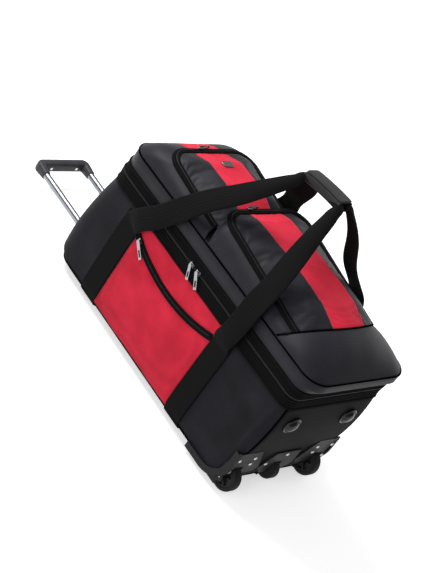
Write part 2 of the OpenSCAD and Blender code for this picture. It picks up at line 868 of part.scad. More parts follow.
pocket_two_slider();
pocket_two_pull();
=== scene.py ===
# %% [markdown]
# # A rolling duffel bag
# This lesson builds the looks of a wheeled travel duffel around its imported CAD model.
# The hard parts keep their CAD shape. Everything sewn is drawn again here as cloth:
# panels with a little slack, piping along the seams, zips with real coils, and stitches.
# Sizes are in millimetres. They are counted from the handle end of the base, with y = 0
# in the middle of the bag and z = 0 on the floor, and are moved into the frame at the end.

# %% Load the frame
import math

import bmesh
import bpy
import numpy as np
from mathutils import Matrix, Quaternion, Vector, noise


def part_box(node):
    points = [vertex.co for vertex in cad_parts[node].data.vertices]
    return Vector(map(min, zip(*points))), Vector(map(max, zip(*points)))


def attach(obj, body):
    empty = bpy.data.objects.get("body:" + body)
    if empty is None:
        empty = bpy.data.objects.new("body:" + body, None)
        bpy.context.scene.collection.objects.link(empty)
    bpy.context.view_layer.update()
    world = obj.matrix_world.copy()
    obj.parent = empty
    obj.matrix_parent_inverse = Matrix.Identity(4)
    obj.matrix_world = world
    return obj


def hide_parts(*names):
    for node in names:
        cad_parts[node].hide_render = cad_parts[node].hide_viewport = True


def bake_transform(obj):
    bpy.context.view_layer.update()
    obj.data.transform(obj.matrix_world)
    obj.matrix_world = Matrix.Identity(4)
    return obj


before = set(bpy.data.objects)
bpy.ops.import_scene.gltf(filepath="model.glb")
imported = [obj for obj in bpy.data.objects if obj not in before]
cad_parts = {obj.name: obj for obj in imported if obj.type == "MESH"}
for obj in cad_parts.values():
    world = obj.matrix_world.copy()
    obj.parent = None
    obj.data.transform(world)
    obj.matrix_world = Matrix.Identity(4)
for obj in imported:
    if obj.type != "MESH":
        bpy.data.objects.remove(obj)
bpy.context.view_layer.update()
MM = 0.001
WALL_START = 30
BASE_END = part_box("front_wall")[0].x - WALL_START * MM

# %% [markdown]
# ## The camera
# A studio camera with a long lens keeps the long bag from bulging towards the viewer.
# It looks at the front side and down on the lid, and it is turned about its own axis,
# so that the bag seems to stand up on its wheels although it lies flat in the frame.

# %% Place the camera
TARGET = Vector((0.0700, -0.0060, 0.1920))
DISTANCE = 3.2
AZIMUTH, ELEVATION, ROLL = map(math.radians, (32.0, 31.2, 35.7))
back = Vector((math.sin(AZIMUTH) * math.cos(ELEVATION),
               -math.cos(AZIMUTH) * math.cos(ELEVATION), math.sin(ELEVATION)))
lens = bpy.data.cameras.new("camera")
lens.lens = 100.5
lens.sensor_width = 36
lens.clip_end = 50
camera = bpy.data.objects.new("camera", lens)
camera.location = TARGET + DISTANCE * back
camera.rotation_mode = "QUATERNION"
camera.rotation_quaternion = (-back).to_track_quat("-Z", "Y") @ Quaternion((0, 0, 1), ROLL)
bpy.context.scene.collection.objects.link(camera)
bpy.context.scene.camera = camera
print("camera at", [round(v, 3) for v in camera.location])

# %% [markdown]
# ## Light and floor
# Goods like this are lit by large soft boxes over a white sweep. An even white world
# does most of that, and two area lamps give the cloth its direction: one above the handle
# end, which lights the lid, and a weaker one in front of the side with the pocket.

# %% Studio
world = bpy.data.worlds.new("studio")
bpy.context.scene.world = world
world.use_nodes = True
world.node_tree.nodes["Background"].inputs["Color"].default_value = (1, 1, 1, 1)
world.node_tree.nodes["Background"].inputs["Strength"].default_value = 0.34
bpy.context.scene.view_settings.view_transform = "Standard"


def soft_box(name, place, aim, size, watts):
    """A square area lamp that points at a place on the bag."""
    lamp = bpy.data.lights.new(name, "AREA")
    lamp.size = size
    lamp.energy = watts
    box = bpy.data.objects.new(name, lamp)
    box.location = place
    box.rotation_euler = (Vector(aim) - Vector(place)).to_track_quat("-Z", "Y").to_euler()
    bpy.context.scene.collection.objects.link(box)


soft_box("over_handle_end", (-1.7, -0.5, 2.3), (0, 0, 0.25), 1.4, 70)
soft_box("front_fill", (0.6, -2.9, 1.1), (0, 0, 0.15), 1.8, 36)
soft_box("rear_fill", (0.2, 2.9, 1.4), (0, 0, 0.2), 1.8, 14)
floor_mesh = bpy.data.meshes.new("floor")
floor_mesh.from_pydata([(-40, -40, 0), (40, -40, 0), (40, 40, 0), (-40, 40, 0)], [], [(0, 1, 2, 3)])
floor = bpy.data.objects.new("floor", floor_mesh)
bpy.context.scene.collection.objects.link(floor)
floor.visible_diffuse = False

# %% [markdown]
# ## Helpers for materials
# Every colour is written as the sRGB hex value a maker would match by eye, and one
# function turns it into the linear light values that the shader wants.
# One more function adds a node with its settings and its links.


# %% Colour and node helpers
def linear(colour):
    """sRGB hex to linear red, green, blue and alpha."""
    parts = [int(colour[i:i + 2], 16) / 255 for i in (1, 3, 5)]
    return [p / 12.92 if p <= 0.04045 else ((p + 0.055) / 1.055) ** 2.4 for p in parts] + [1.0]


def add(tree, kind, inputs=None, **settings):
    """Adds a node. A value in inputs is either a number or another node's socket."""
    made = tree.nodes.new(kind)
    for name, value in settings.items():
        setattr(made, name, value)
    for name, value in (inputs or {}).items():
        if isinstance(value, bpy.types.NodeSocket):
            tree.links.new(value, made.inputs[name])
        else:
            made.inputs[name].default_value = value
    return made


def start(name, colour, roughness, metallic=0.0, sheen=0.0, gloss=0.5):
    """A new material with its shader set up, and the tree and shader to work on."""
    material = bpy.data.materials.new(name)
    material.use_nodes = True
    tree = material.node_tree
    shader = tree.nodes["Principled BSDF"]
    shader.inputs["Base Color"].default_value = linear(colour)
    shader.inputs["Roughness"].default_value = roughness
    shader.inputs["Metallic"].default_value = metallic
    shader.inputs["Sheen Weight"].default_value = sheen
    shader.inputs["Sheen Roughness"].default_value = 0.4
    shader.inputs["Specular IOR Level"].default_value = gloss
    return material, tree, shader


def stripes_per_metre(pitch):
    """Scale of a wave texture whose bands repeat every pitch millimetres."""
    return 2 * math.pi / 20 / (pitch * MM)


def speckle(tree, vector, size, low, high):
    """Soft noise with patches of about size millimetres, from low to high."""
    made = add(tree, "ShaderNodeTexNoise", {"Vector": vector, "Scale": 1 / (size * MM), "Detail": 3.0})
    return add(tree, "ShaderNodeMapRange",
               {"Value": made.outputs["Fac"], "From Min": 0.3, "From Max": 0.7,
                "To Min": low, "To Max": high}).outputs["Result"]


def surface(tree, shader, colours, tone, height, depth):
    """Lets tone choose between two hex colours, and height raise the surface by depth mm."""
    mixed = add(tree, "ShaderNodeMix", {"Factor": tone, 6: linear(colours[0]), 7: linear(colours[1])},
                data_type="RGBA").outputs[2]
    bump = add(tree, "ShaderNodeBump", {"Height": height, "Distance": depth * MM}).outputs["Normal"]
    tree.links.new(mixed, shader.inputs["Base Color"])
    tree.links.new(bump, shader.inputs["Normal"])


print("middle grey in linear light:", [round(part, 3) for part in linear("#808080")])

# %% [markdown]
# ## Cloth
# The panels are woven polyester. Its threads cross at right angles about 0.5 mm apart,
# which is too fine to show from here, so the weave is drawn 1 to 3 mm apart. Three sets of
# bands along the object's own axes are added up, so that every flat side of the bag
# shows two of them crossing. A slow change of tone breaks up the large dark panels.


# %% Woven polyester
def woven(name, colour, light, roughness, sheen, pitch=1.5, depth=0.12, gloss=0.1):
    """Cloth with threads pitch mm apart that stand depth mm high."""
    material, tree, shader = start(name, colour, roughness, sheen=sheen, gloss=gloss)
    place = add(tree, "ShaderNodeTexCoord").outputs["Object"]
    total = None
    for direction in "XYZ":
        bands = add(tree, "ShaderNodeTexWave", {"Vector": place, "Scale": stripes_per_metre(pitch)},
                    bands_direction=direction).outputs["Fac"]
        total = bands if total is None else add(
            tree, "ShaderNodeMath", {0: total, 1: bands}, operation="ADD").outputs["Value"]
    weave = add(tree, "ShaderNodeMath", {0: total, 1: 1 / 3}, operation="MULTIPLY").outputs["Value"]
    slow = speckle(tree, place, 70, 0.0, 0.6)
    tone = add(tree, "ShaderNodeMath", {0: weave, 1: 0.5, 2: slow}, operation="MULTIPLY_ADD")
    surface(tree, shader, (colour, light), tone.outputs["Value"], weave, depth)
    return material


black_nylon = woven("woven_polyester_black", "#1a1a1d", "#2c2c32", 0.6, 0.06, pitch=2.6, depth=0.25,
                    gloss=0.04)
lid_nylon = woven("woven_polyester_lid", "#15151a", "#27272f", 0.5, 0.1, pitch=2.2, depth=0.14, gloss=0.17)
base_cloth = woven("coated_polyester_base", "#111112", "#1d1d1e", 0.62, 0.04, pitch=2.6, gloss=0.03)
red_cloth = woven("woven_polyester_red", "#b8182e", "#f0304a", 0.7, 0.1, pitch=3.2, depth=0.45)
wrap_cloth = woven("woven_polyester_wrap", "#2a2a2b", "#3a3a3b", 0.7, 0.15, pitch=1.8)
print("cloths:", black_nylon.name, lid_nylon.name, base_cloth.name, red_cloth.name)

# %% [markdown]
# ## Webbing, tape and thread
# Webbing is woven far thicker than cloth, in ribs that run across its length and lean
# left and right in turn. The pattern has to follow the strap, so it reads the piece's
# own UV map, which is in metres along and across the strap.


# %% Ribbed bands
def ribbed(name, colour, light, pitch, roughness, depth):
    """A band with ribs pitch mm apart along its own UV map."""
    material, tree, shader = start(name, colour, roughness, sheen=0.02, gloss=0.05)
    place = add(tree, "ShaderNodeUVMap", uv_map="strap").outputs["UV"]
    across = add(tree, "ShaderNodeTexWave", {"Vector": place, "Scale": stripes_per_metre(pitch)},
                 bands_direction="X").outputs["Fac"]
    rows = add(tree, "ShaderNodeTexWave", {"Vector": place, "Scale": stripes_per_metre(pitch * 1.2)},
               bands_direction="Y").outputs["Fac"]
    height = add(tree, "ShaderNodeMath", {0: across, 1: rows}, operation="MULTIPLY").outputs["Value"]
    surface(tree, shader, (colour, light), height, height, depth)
    return material


webbing = ribbed("polyester_webbing", "#121212", "#1e1e1e", 2.2, 0.8, 0.16)
zip_tape = ribbed("woven_zip_tape", "#0b0b0c", "#161617", 1.6, 0.8, 0.15)
print("bands:", webbing.name, zip_tape.name)

# %% [markdown]
# ## Plastic, rubber and metal
# The guards are injection-moulded polypropylene with a fine spark-eroded grain, and the
# grip is smoother ABS. The tyres are soft thermoplastic rubber. The handle's tubes are
# drawn aluminium, so their fine lines run lengthwise and stretch the highlight. The
# pulls are plated zinc castings, and the rivets and screws are zinc-plated steel.
# Zip coils, thread and piping are smooth fibre and take the same fine grain.


# %% Hard materials
def grained(name, colour, light, roughness, grain, depth, gloss=0.2):
    """Moulded plastic or rubber with a fine even grain."""
    material, tree, shader = start(name, colour, roughness, gloss=gloss)
    place = add(tree, "ShaderNodeTexCoord").outputs["Object"]
    fine = speckle(tree, place, grain, 0.0, 1.0)
    worn = speckle(tree, place, 25, 0.0, 1.0)
    rough = add(tree, "ShaderNodeMapRange", {"Value": worn, "To Min": roughness - 0.05,
                                             "To Max": roughness + 0.07}).outputs["Result"]
    tree.links.new(rough, shader.inputs["Roughness"])
    surface(tree, shader, (colour, light), worn, fine, depth)
    return material


def metal(name, colour, roughness, line=None):
    """Bare or plated metal. Line stretches its fine marks along X."""
    material, tree, shader = start(name, colour, roughness, metallic=1.0)
    place = add(tree, "ShaderNodeTexCoord").outputs["Object"]
    if line:
        place = add(tree, "ShaderNodeMapping", {"Vector": place, "Scale": (line, 1.0, 1.0)}).outputs["Vector"]
    marks = speckle(tree, place, 1.2, roughness - 0.08, roughness + 0.1)
    tree.links.new(marks, shader.inputs["Roughness"])
    return material


coil = grained("nylon_coil", "#1a1a1b", "#29292a", 0.5, 0.8, 0.02, gloss=0.2)
thread = grained("polyester_thread", "#17171a", "#242428", 0.8, 0.5, 0.05, gloss=0.05)
red_thread = grained("polyester_thread_red", "#8f1626", "#ab2036", 0.8, 0.5, 0.05, gloss=0.05)
piping = grained("coated_piping", "#050506", "#0a0a0b", 0.8, 1.0, 0.03, gloss=0.0)
guard_plastic = grained("polypropylene_guard", "#121214", "#1c1c1e", 0.5, 0.9, 0.05)
foot_plastic = grained("polished_polypropylene", "#0c0c0d", "#141415", 0.22, 1.2, 0.02, gloss=0.3)
grip_plastic = grained("abs_grip", "#363639", "#424245", 0.38, 0.7, 0.03)
hub_plastic = grained("nylon_hub", "#1b1b1d", "#262629", 0.4, 0.9, 0.03)
tyre_rubber = grained("rubber_tyre", "#121213", "#1b1b1c", 0.68, 0.8, 0.06)
tube_aluminium = metal("drawn_aluminium", "#8f9297", 0.28, line=0.02)
plated_steel = metal("zinc_plated_steel", "#c9cacc", 0.28)
cast_zinc = metal("plated_zinc", "#95969a", 0.26)
liner_cloth = woven("liner_cloth", "#4a4a50", "#5c5c63", 0.7, 0.2, pitch=1.2)
foam = grained("closed_cell_foam", "#2c2c2e", "#39393b", 0.9, 1.5, 0.2)
board = grained("pressed_board", "#4c4032", "#5a4c3c", 0.75, 1.5, 0.1)
floor_paint, _, floor_shader = start("matt_white_floor", "#f4f4f4", 0.9)
floor_shader.inputs["Emission Color"].default_value = (1, 1, 1, 1)
floor_shader.inputs["Emission Strength"].default_value = 0.55
floor.data.materials.append(floor_paint)
print("materials:", len(bpy.data.materials))

# %% [markdown]
# ## Helpers for sewn pieces
# Most of the bag is a surface swept round an outline or laid through rows of points.
# One helper turns a grid of points into a mesh with a UV map in metres, makes its faces
# point outwards, and moves it from the bag's millimetres into the frame.


# %% Grid to mesh
def in_frame(points):
    """Millimetres from the handle end of the base, as metres in the frame."""
    return np.asarray(points, float) * MM + (BASE_END, 0, 0)


def new_piece(name, points, faces, material, inside=None, sharp=35):
    """A mesh in the frame. Inside is a point the faces turn away from."""
    mesh = bpy.data.meshes.new(name)
    mesh.from_pydata([tuple(p) for p in in_frame(points)], [], faces)
    piece = bpy.data.objects.new(name, mesh)
    bpy.context.scene.collection.objects.link(piece)
    shape = bmesh.new()
    shape.from_mesh(mesh)
    bmesh.ops.remove_doubles(shape, verts=shape.verts, dist=1e-6)
    bmesh.ops.recalc_face_normals(shape, faces=shape.faces)
    if inside is not None:
        core = Vector(in_frame([inside])[0])
        outward = sum((f.normal.dot(f.calc_center_median() - core) * f.calc_area()) for f in shape.faces)
        if outward < 0:
            bmesh.ops.reverse_faces(shape, faces=shape.faces)
    shape.to_mesh(mesh)
    shape.free()
    mesh.materials.append(material)
    mesh.shade_smooth()
    mesh.set_sharp_from_angle(angle=math.radians(sharp))
    return piece


def skin(name, grid, material, closed_rows=False, closed_columns=False, capped=False,
         inside=None, thick=0.0, sharp=35):
    """A mesh through a grid of points, rows by columns, with a UV map along and across."""
    grid = np.asarray(grid, float)
    rows, columns = grid.shape[:2]
    faces = []
    for r in range(rows if closed_rows else rows - 1):
        for c in range(columns if closed_columns else columns - 1):
            corners = ((r, c), (r, c + 1), (r + 1, c + 1), (r + 1, c))
            faces.append([(a % rows) * columns + b % columns for a, b in corners])
    if capped:
        faces += [list(range(columns)), [(rows - 1) * columns + c for c in range(columns)]]
    piece = new_piece(name, grid.reshape(-1, 3), faces, material, inside, sharp)
    along = np.linalg.norm(np.diff(grid[:, 0], axis=0, append=grid[:1, 0]), axis=1)
    across = np.linalg.norm(np.diff(grid[rows // 2], axis=0, append=grid[rows // 2][:1]), axis=1)
    along = np.concatenate([[0], np.cumsum(along)]) * MM
    across = np.concatenate([[0], np.cumsum(across)]) * MM
    layer = piece.data.uv_layers.new(name="strap")
    flat = in_frame(grid.reshape(-1, 3))
    nearest = {}
    for index, point in enumerate(flat):
        nearest.setdefault(tuple(np.round(point, 6)), divmod(index, columns))
    for polygon in piece.data.polygons:
        cells = []
        for vertex in polygon.vertices:
            key = tuple(np.round(piece.data.vertices[vertex].co, 6))
            cells.append(nearest.get(key, (0, 0)))
        top_row = max(cell[0] for cell in cells)
        top_column = max(cell[1] for cell in cells)
        for loop, (r, c) in zip(polygon.loop_indices, cells):
            if closed_rows and top_row == rows - 1 and r == 0:
                r = rows
            if closed_columns and top_column == columns - 1 and c == 0:
                c = columns
            layer.data[loop].uv = (along[r], across[c])
    if thick:
        wall = piece.modifiers.new("thickness", "SOLIDIFY")
        wall.thickness = thick * MM
        wall.offset = -1
    return piece


def give(piece, body, slot_name, *nodes):
    """Puts a piece on its body and hides the CAD nodes it stands for; slot_name is not used."""
    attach(piece, body)
    if nodes:
        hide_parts(*nodes)
    print(f"{piece.name}: {len(piece.data.polygons)} faces on {body}")
    return piece


# %% [markdown]
# ## The outline of the bag
# Seen from above the bag is a long rectangle with rounded corners. Body, zip band and lid
# all follow it, with slightly different ends, so one function draws it. It always gives
# the same number of points in the same order. Any two outlines can then be joined
# point by point, and a stripe of fixed width down the middle stays straight.

# %% Outline function
STRIPE = 46
END_STEPS = 4
STRIPE_STEPS = 8
CORNER_STEPS = 10
SIDE_STEPS = 60
FAR_STEPS = 22


def outline(x0, x1, half, ra, rb):
    """Points round the bag and their outward directions, from the handle end's rear corner."""
    def arc(cx, cy, r, start_angle):
        turn = np.radians(start_angle + np.arange(CORNER_STEPS) * 90 / CORNER_STEPS)
        ways = np.stack([np.cos(turn), np.sin(turn)], 1)
        return np.array([cx, cy]) + r * ways, ways

    def side(a, b, steps, way):
        share = (np.arange(steps) / steps)[:, None]
        return np.array(a) * (1 - share) + np.array(b) * share, np.repeat([way], steps, 0)

    edge = half - ra
    far = half - rb
    parts = [side((x0, edge), (x0, STRIPE), END_STEPS, (-1, 0)),
             side((x0, STRIPE), (x0, -STRIPE), STRIPE_STEPS, (-1, 0)),
             side((x0, -STRIPE), (x0, -edge), END_STEPS, (-1, 0)),
             arc(x0 + ra, -edge, ra, 180),
             side((x0 + ra, -half), (x1 - rb, -half), SIDE_STEPS, (0, -1)),
             arc(x1 - rb, -far, rb, 270),
             side((x1, -far), (x1, far), FAR_STEPS, (1, 0)),
             arc(x1 - rb, far, rb, 0),
             side((x1 - rb, half), (x0 + ra, half), SIDE_STEPS, (0, 1)),
             arc(x0 + ra, edge, ra, 90)]
    return np.concatenate([p[0] for p in parts]), np.concatenate([p[1] for p in parts])


def spaced(out, z):
    """An outline and its outward directions, lifted to height z."""
    points, ways = out[:2]
    level = np.full(len(points), float(z))
    return np.column_stack([points, level]), np.column_stack([ways, np.zeros(len(ways))])


ROUND = len(outline(0, 600, 140, 40, 20)[0])
FRONT = 2 * END_STEPS + STRIPE_STEPS + CORNER_STEPS
WHEEL = FRONT + SIDE_STEPS
REAR = WHEEL + 2 * CORNER_STEPS + FAR_STEPS
print("points round the bag:", ROUND)

# %% [markdown]
# ## Body panels
# The body is a box of foam-backed cloth: two long sides, a rounded handle end, a wheel
# end that leans out, and a tougher base. Foam keeps it in shape, but cloth under load
# swells a little between its seams and never lies quite flat, so each panel gets a low
# swell and some soft noise. Lofting one shell and cutting it into panels keeps the
# seams closed.

# %% Body shell
HALF = 140
BODY_TOP = 248
BASE_Z = 10
BULGE = 18
LEAN = math.radians(4.6)
TILT = math.tan(LEAN)


def rounded_in(z, radius):
    """How far a bottom edge of that radius has pulled in at height z."""
    drop = max(0.0, BASE_Z + radius - z)
    return radius - math.sqrt(max(0.0, radius ** 2 - drop ** 2))


def end_x(z):
    return 600 + (z - 50) * TILT - rounded_in(z, 24)


def soft(point, size=75.0):
    """Slow noise that stands for the way cloth never lies flat."""
    return noise.noise(Vector(point) / size)


def side_swell(x, z):
    """How far the long sides stand out beyond their seams."""
    rise = math.sin(math.pi * min(1, max(0, (z - BASE_Z) / (BODY_TOP - BASE_Z))))
    return 3.0 * max(0, rise) ** 0.7 + 1.1 * rise * soft((x, 40, z), 90)


def end_swell(z):
    """The wheel end stands out above its guards."""
    return 7.0 * math.sin(math.pi * min(1, max(0, (z - 92) / (BODY_TOP - 92)))) ** 0.9


def corner_swell(y, z):
    """The handle end's lower corners are full, but its middle is held flat by the handle's plate."""
    level = math.sin(math.pi / 2 * min(1, max(0, (BODY_TOP - z) / 170))) * min(1, (z - 4) / 30)
    away = min(1, max(0, (abs(y) - 62) / 45))
    return level * (2.5 + 16.0 * away * away * (3 - 2 * away))


def body_ring(z):
    low = min(1, max(0, (BODY_TOP - z) / 150))
    points, ways = spaced(outline(-BULGE + rounded_in(z, 30), end_x(z), HALF - rounded_in(z, 16),
                                  45 - 12 * low, 22), z)
    points[:, 0] -= [corner_swell(p[1], z) * max(0, -w[0]) ** 0.6 for p, w in zip(points, ways)]
    swell = np.array([side_swell(p[0], z) * (abs(w[1]) + 0.8 * max(0, -w[0]))
                      + end_swell(z) * max(0, w[0]) ** 0.5 for p, w in zip(points, ways)])
    return points + ways * swell[:, None]


def wrap(grid, first, last):
    """Columns first to last of a ring grid, past the seam where the ring closes."""
    return np.take(grid, np.arange(first, last + 1) % ROUND, axis=1)


SEAM_X = 100
SIDE_START, SIDE_RUN = 27, 551
heights = np.concatenate([np.linspace(22, 60, 12), np.linspace(70, BODY_TOP, 20)])
shell = np.array([body_ring(z) for z in heights])
near = FRONT + int(round((SEAM_X - SIDE_START) / SIDE_RUN * SIDE_STEPS))
far = REAR + SIDE_STEPS - (near - FRONT)
corner = WHEEL + CORNER_STEPS // 2 + 2
corner_far = REAR - CORNER_STEPS // 2 - 2
middle = (300, 0, 130)
for name, first, last, cloth, node in (
        ("front_side_panel", near, corner, black_nylon, "front_wall"),
        ("wheel_end_panel", corner, corner_far, base_cloth, "wheel_end_wall"),
        ("rear_side_panel", corner_far, far, black_nylon, "rear_wall"),
        ("handle_end_panel", far, near + ROUND, black_nylon, "handle_end_wall")):
    panel = skin(name, wrap(shell, first, last), cloth, inside=middle, thick=3.0)
    give(panel, "bag", "nylon_black", node)

# %% [markdown]
# The base starts above the rounded bottom edge, runs under it and closes in the middle.

# %% Base panel
base_rows = [body_ring(z) for z in (22, 18, 15, 12.5, 11, 10)]
spine = np.array([np.clip(p[0], 90, 500) for p in base_rows[-1]])
centre_line = np.column_stack([spine, np.zeros(ROUND), np.full(ROUND, BASE_Z)])
base_rows += [base_rows[5] * (1 - s) + centre_line * s for s in (0.1, 0.35, 0.7, 1.0)]
base = skin("base_panel_cloth", base_rows, base_cloth, closed_columns=True, inside=middle, thick=2.5)
give(base, "bag", "nylon_black", "base_panel")

# %% [markdown]
# ## Tubes, piping and bands
# Piping is a cord sewn into a seam. It covers the cut edges and gives the bag its
# drawn lines. A small sweep carries any section along any line of points, with the
# section's first direction kept square to both the line and a given "up".


# %% Sweep helper
def frames(path, up, closed):
    """At each point of a path: the outward direction and the one square to it."""
    path = np.asarray(path, float)
    if closed:
        ahead = np.roll(path, -1, 0) - np.roll(path, 1, 0)
    else:
        ahead = np.gradient(path, axis=0)
    ahead /= np.linalg.norm(ahead, axis=1)[:, None]
    up = np.broadcast_to(np.asarray(up, float), path.shape)
    out = np.cross(ahead, up)
    out /= np.linalg.norm(out, axis=1)[:, None]
    return out, np.cross(out, ahead)


def sweep(name, path, section, material, up=(0, 0, 1), closed=False, sharp=35):
    """A section of (out, up) points in mm carried along a path, closed at its ends."""
    out, rise = frames(path, up, closed)
    grid = [p + np.outer(section[:, 0], o) + np.outer(section[:, 1], r)
            for p, o, r in zip(np.asarray(path, float), out, rise)]
    return skin(name, grid, material, closed_rows=closed, closed_columns=True,
                capped=not closed, sharp=sharp)


def circle(radius, sides=8, flat=1.0):
    turn = np.arange(sides) * 2 * math.pi / sides
    return np.column_stack([radius * np.cos(turn), radius * flat * np.sin(turn)])


def joined(name, pieces):
    """Several meshes as one piece."""
    shape = bmesh.new()
    for piece in pieces:
        shape.from_mesh(piece.data)
    mesh = pieces[0].data
    shape.to_mesh(mesh)
    shape.free()
    for piece in pieces[1:]:
        bpy.data.objects.remove(piece)
    pieces[0].name = name
    return pieces[0]


corner_z = np.linspace(20, 246, 40)
seams = [sweep("seam", body_ring(22), circle(2.2), piping, closed=True)]
for column in (corner, corner_far):
    line = np.array([body_ring(z)[column] for z in corner_z])
    seams.append(sweep("seam", line, circle(2.0), piping, up=(0, 1, 0)))
body_piping = joined("body_piping", seams)
give(body_piping, "bag", "nylon_black")

# %% [markdown]
# ## The main zip
# The zip runs round the whole bag in a band of tape. Folds of tape guard the coil above
# and below, so the band's section is a row of low ridges. The section is a flat strip
# plus a smooth bump for each ridge, which is how the folds lie on the real band.


# %% Zip bands
def ridged(low, high, ridges, base, depth=4.0, step=0.8):
    """A closed section (out, up): ridges is a list of (height, out, half width)."""
    up = np.linspace(low, high, int((high - low) / step) + 1)
    out = np.full(len(up), base, float)
    for at, size, half in ridges:
        near_it = np.clip(np.abs(up - at) / half, 0, 1)
        out += size * np.cos(near_it * math.pi / 2) ** 2
    return np.concatenate([np.column_stack([out, up]), [[-depth, high], [-depth, low]]])


def band_piece(name, low_outline, high_outline, section, z0, z1, material):
    """A section swept round the bag, while the outline changes from low to high."""
    grid = []
    for out, up in section:
        share = min(1, max(0, (up - z0) / (z1 - z0)))
        mixed = [a * (1 - share) + b * share for a, b in zip(low_outline, high_outline)]
        points, ways = spaced(outline(*mixed), up)
        grid.append(points + ways * out)
    return skin(name, np.swapaxes(np.array(grid), 0, 1), material,
                closed_rows=True, closed_columns=True, sharp=50)


BODY_LINE = (-BULGE + 1, 616.5, HALF, 45, 22)
LID_LINE = (-13, 622, HALF, 45, 26)
STRIP_LINE = (-12, 636, HALF, 46, 42)
lower_ridges = [(249.5, 2.6, 3.2), (257, 1.2, 2.5), (262.5, 1.2, 2.5), (269, 1.8, 3.0), (275.2, 1.2, 1.3)]
upper_ridges = [(277.8, 1.2, 1.3), (284, 1.8, 3.0), (290, 1.2, 2.5), (296.5, 2.8, 3.4)]
lower_band = band_piece("lower_zip_band", BODY_LINE, BODY_LINE, ridged(246, 276.2, lower_ridges, 1.2),
                        246, 276, zip_tape)
give(lower_band, "bag", "zip_tape", "body_zip_tape")
upper_band = band_piece("upper_zip_band", (-15, 618, HALF, 45, 23), LID_LINE,
                        ridged(276.8, 299.5, upper_ridges, 1.2), 277, 298, zip_tape)
give(upper_band, "lid", "zip_tape", "lid_zip_tape")

# %% [markdown]
# The zip leaves out the rear side, where the lid hinges on a sewn tape. The tape
# crosses the joint. It is drawn as one flat sheet, put on the bag and then left
# without a parent in the same place.

# %% Hinge tape
HINGE_LOW, HINGE_HIGH = 268, 285
hinge_x = np.linspace(22, 578, 60)
hinge_rows = [[(x, HALF + 3.2, z) for x in hinge_x] for z in np.linspace(HINGE_LOW, HINGE_HIGH, 18)]
hinge = skin("lid_hinge_tape", hinge_rows, zip_tape, inside=(300, 0, 276), thick=0.9)
give(hinge, "bag", "zip_tape")
hinge.parent = None
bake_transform(hinge)

# %% [markdown]
# ## The lid's side strip
# A strip of cloth stands between the zip band and the lid's top. At the wheel end it
# reaches further out than the band, so its section changes its outline on the way up.

# %% Lid strip
strip_section = ridged(298.5, 330, [(314, 1.0, 17)], 0.4, depth=4)
strip = band_piece("lid_side_strip", LID_LINE, STRIP_LINE, strip_section, 298, 312, lid_nylon)
give(strip, "lid", "nylon_black", "lid_strip")
LID_SEAM_Z = 330.5
seam_points, seam_ways = spaced(outline(*STRIP_LINE), LID_SEAM_Z)
lid_seam = sweep("lid_seam_piping", seam_points + seam_ways * 0.2, circle(1.9), piping, closed=True)
give(lid_seam, "lid", "nylon_black")

# %% [markdown]
# ## The lid's own cloth
# Between the pockets the lid is one flat panel: the same cloth as the strip on top, and
# a thin lining below, which shows when the bag is open. Both are sewn to the lid's
# outline. The lining has some slack, so it hangs a few millimetres in slow folds.

# %% Lid cloths
lid_edge, _ = spaced(outline(STRIP_LINE[0] + 1.5, STRIP_LINE[1] - 1.5, HALF - 1.5, 45, 41), 0)
lid_spine = np.column_stack([np.clip(lid_edge[:, 0], 130, 490), np.zeros(ROUND), np.zeros(ROUND)])


def lid_sheet(name, z, sag, cloth, inside):
    """A sheet sewn to the lid's outline at height z that hangs by about sag mm."""
    rows = []
    for share in np.linspace(0, 1, 26) ** 1.3:
        row = lid_edge * (1 - share) + lid_spine * share
        hang = sag * math.sin(math.pi / 2 * min(1, share / 0.4))
        row[:, 2] = z - np.array([hang * (0.6 + 0.5 * soft(p, 55)) for p in row])
        rows.append(row)
    return skin(name, rows, cloth, closed_columns=True, inside=inside, thick=1.0)


give(lid_sheet("lid_top_cloth", 332.2, 0.3, lid_nylon, (300, 0, 200)), "lid", "nylon_black", "lid_panel")
give(lid_sheet("lid_lining_cloth", 329.8, 5.0, liner_cloth, (300, 0, 450)), "lid", "liner")

# %% [markdown]
# ## The lining of the bag
# Inside, a thin liner hangs from the top seam, runs over the floor and covers the wheel
# wells. It is cut a little large and stands in slack folds. Its pattern is the CAD
# liner's: a copy is merged and its long edges are divided, and then every point moves
# inwards by slow noise. The move depends only on the place, so both faces of the thin
# cloth move together. A binding tape covers its raw upper edge.

# %% Lining
LINER_LOW, LINER_HIGH = [(corner_point - Vector((BASE_END, 0, 0))) / MM for corner_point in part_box("lining")]
LONGEST_EDGE = 16
FOLD = 5.0


def slack_in(x, y, z):
    """How far and which way the liner hangs inwards at a place."""
    loose = FOLD * (0.6 + 0.6 * soft((x, y, z * 0.45), 46)) * min(1, max(0, (LINER_HIGH.z - 8 - z) / 50))
    return Vector((-loose * ((x - 300) / 310) ** 7, -loose * (y / HALF) ** 7,
                   loose * max(0, 1 - (z - LINER_LOW.z) / 12)))


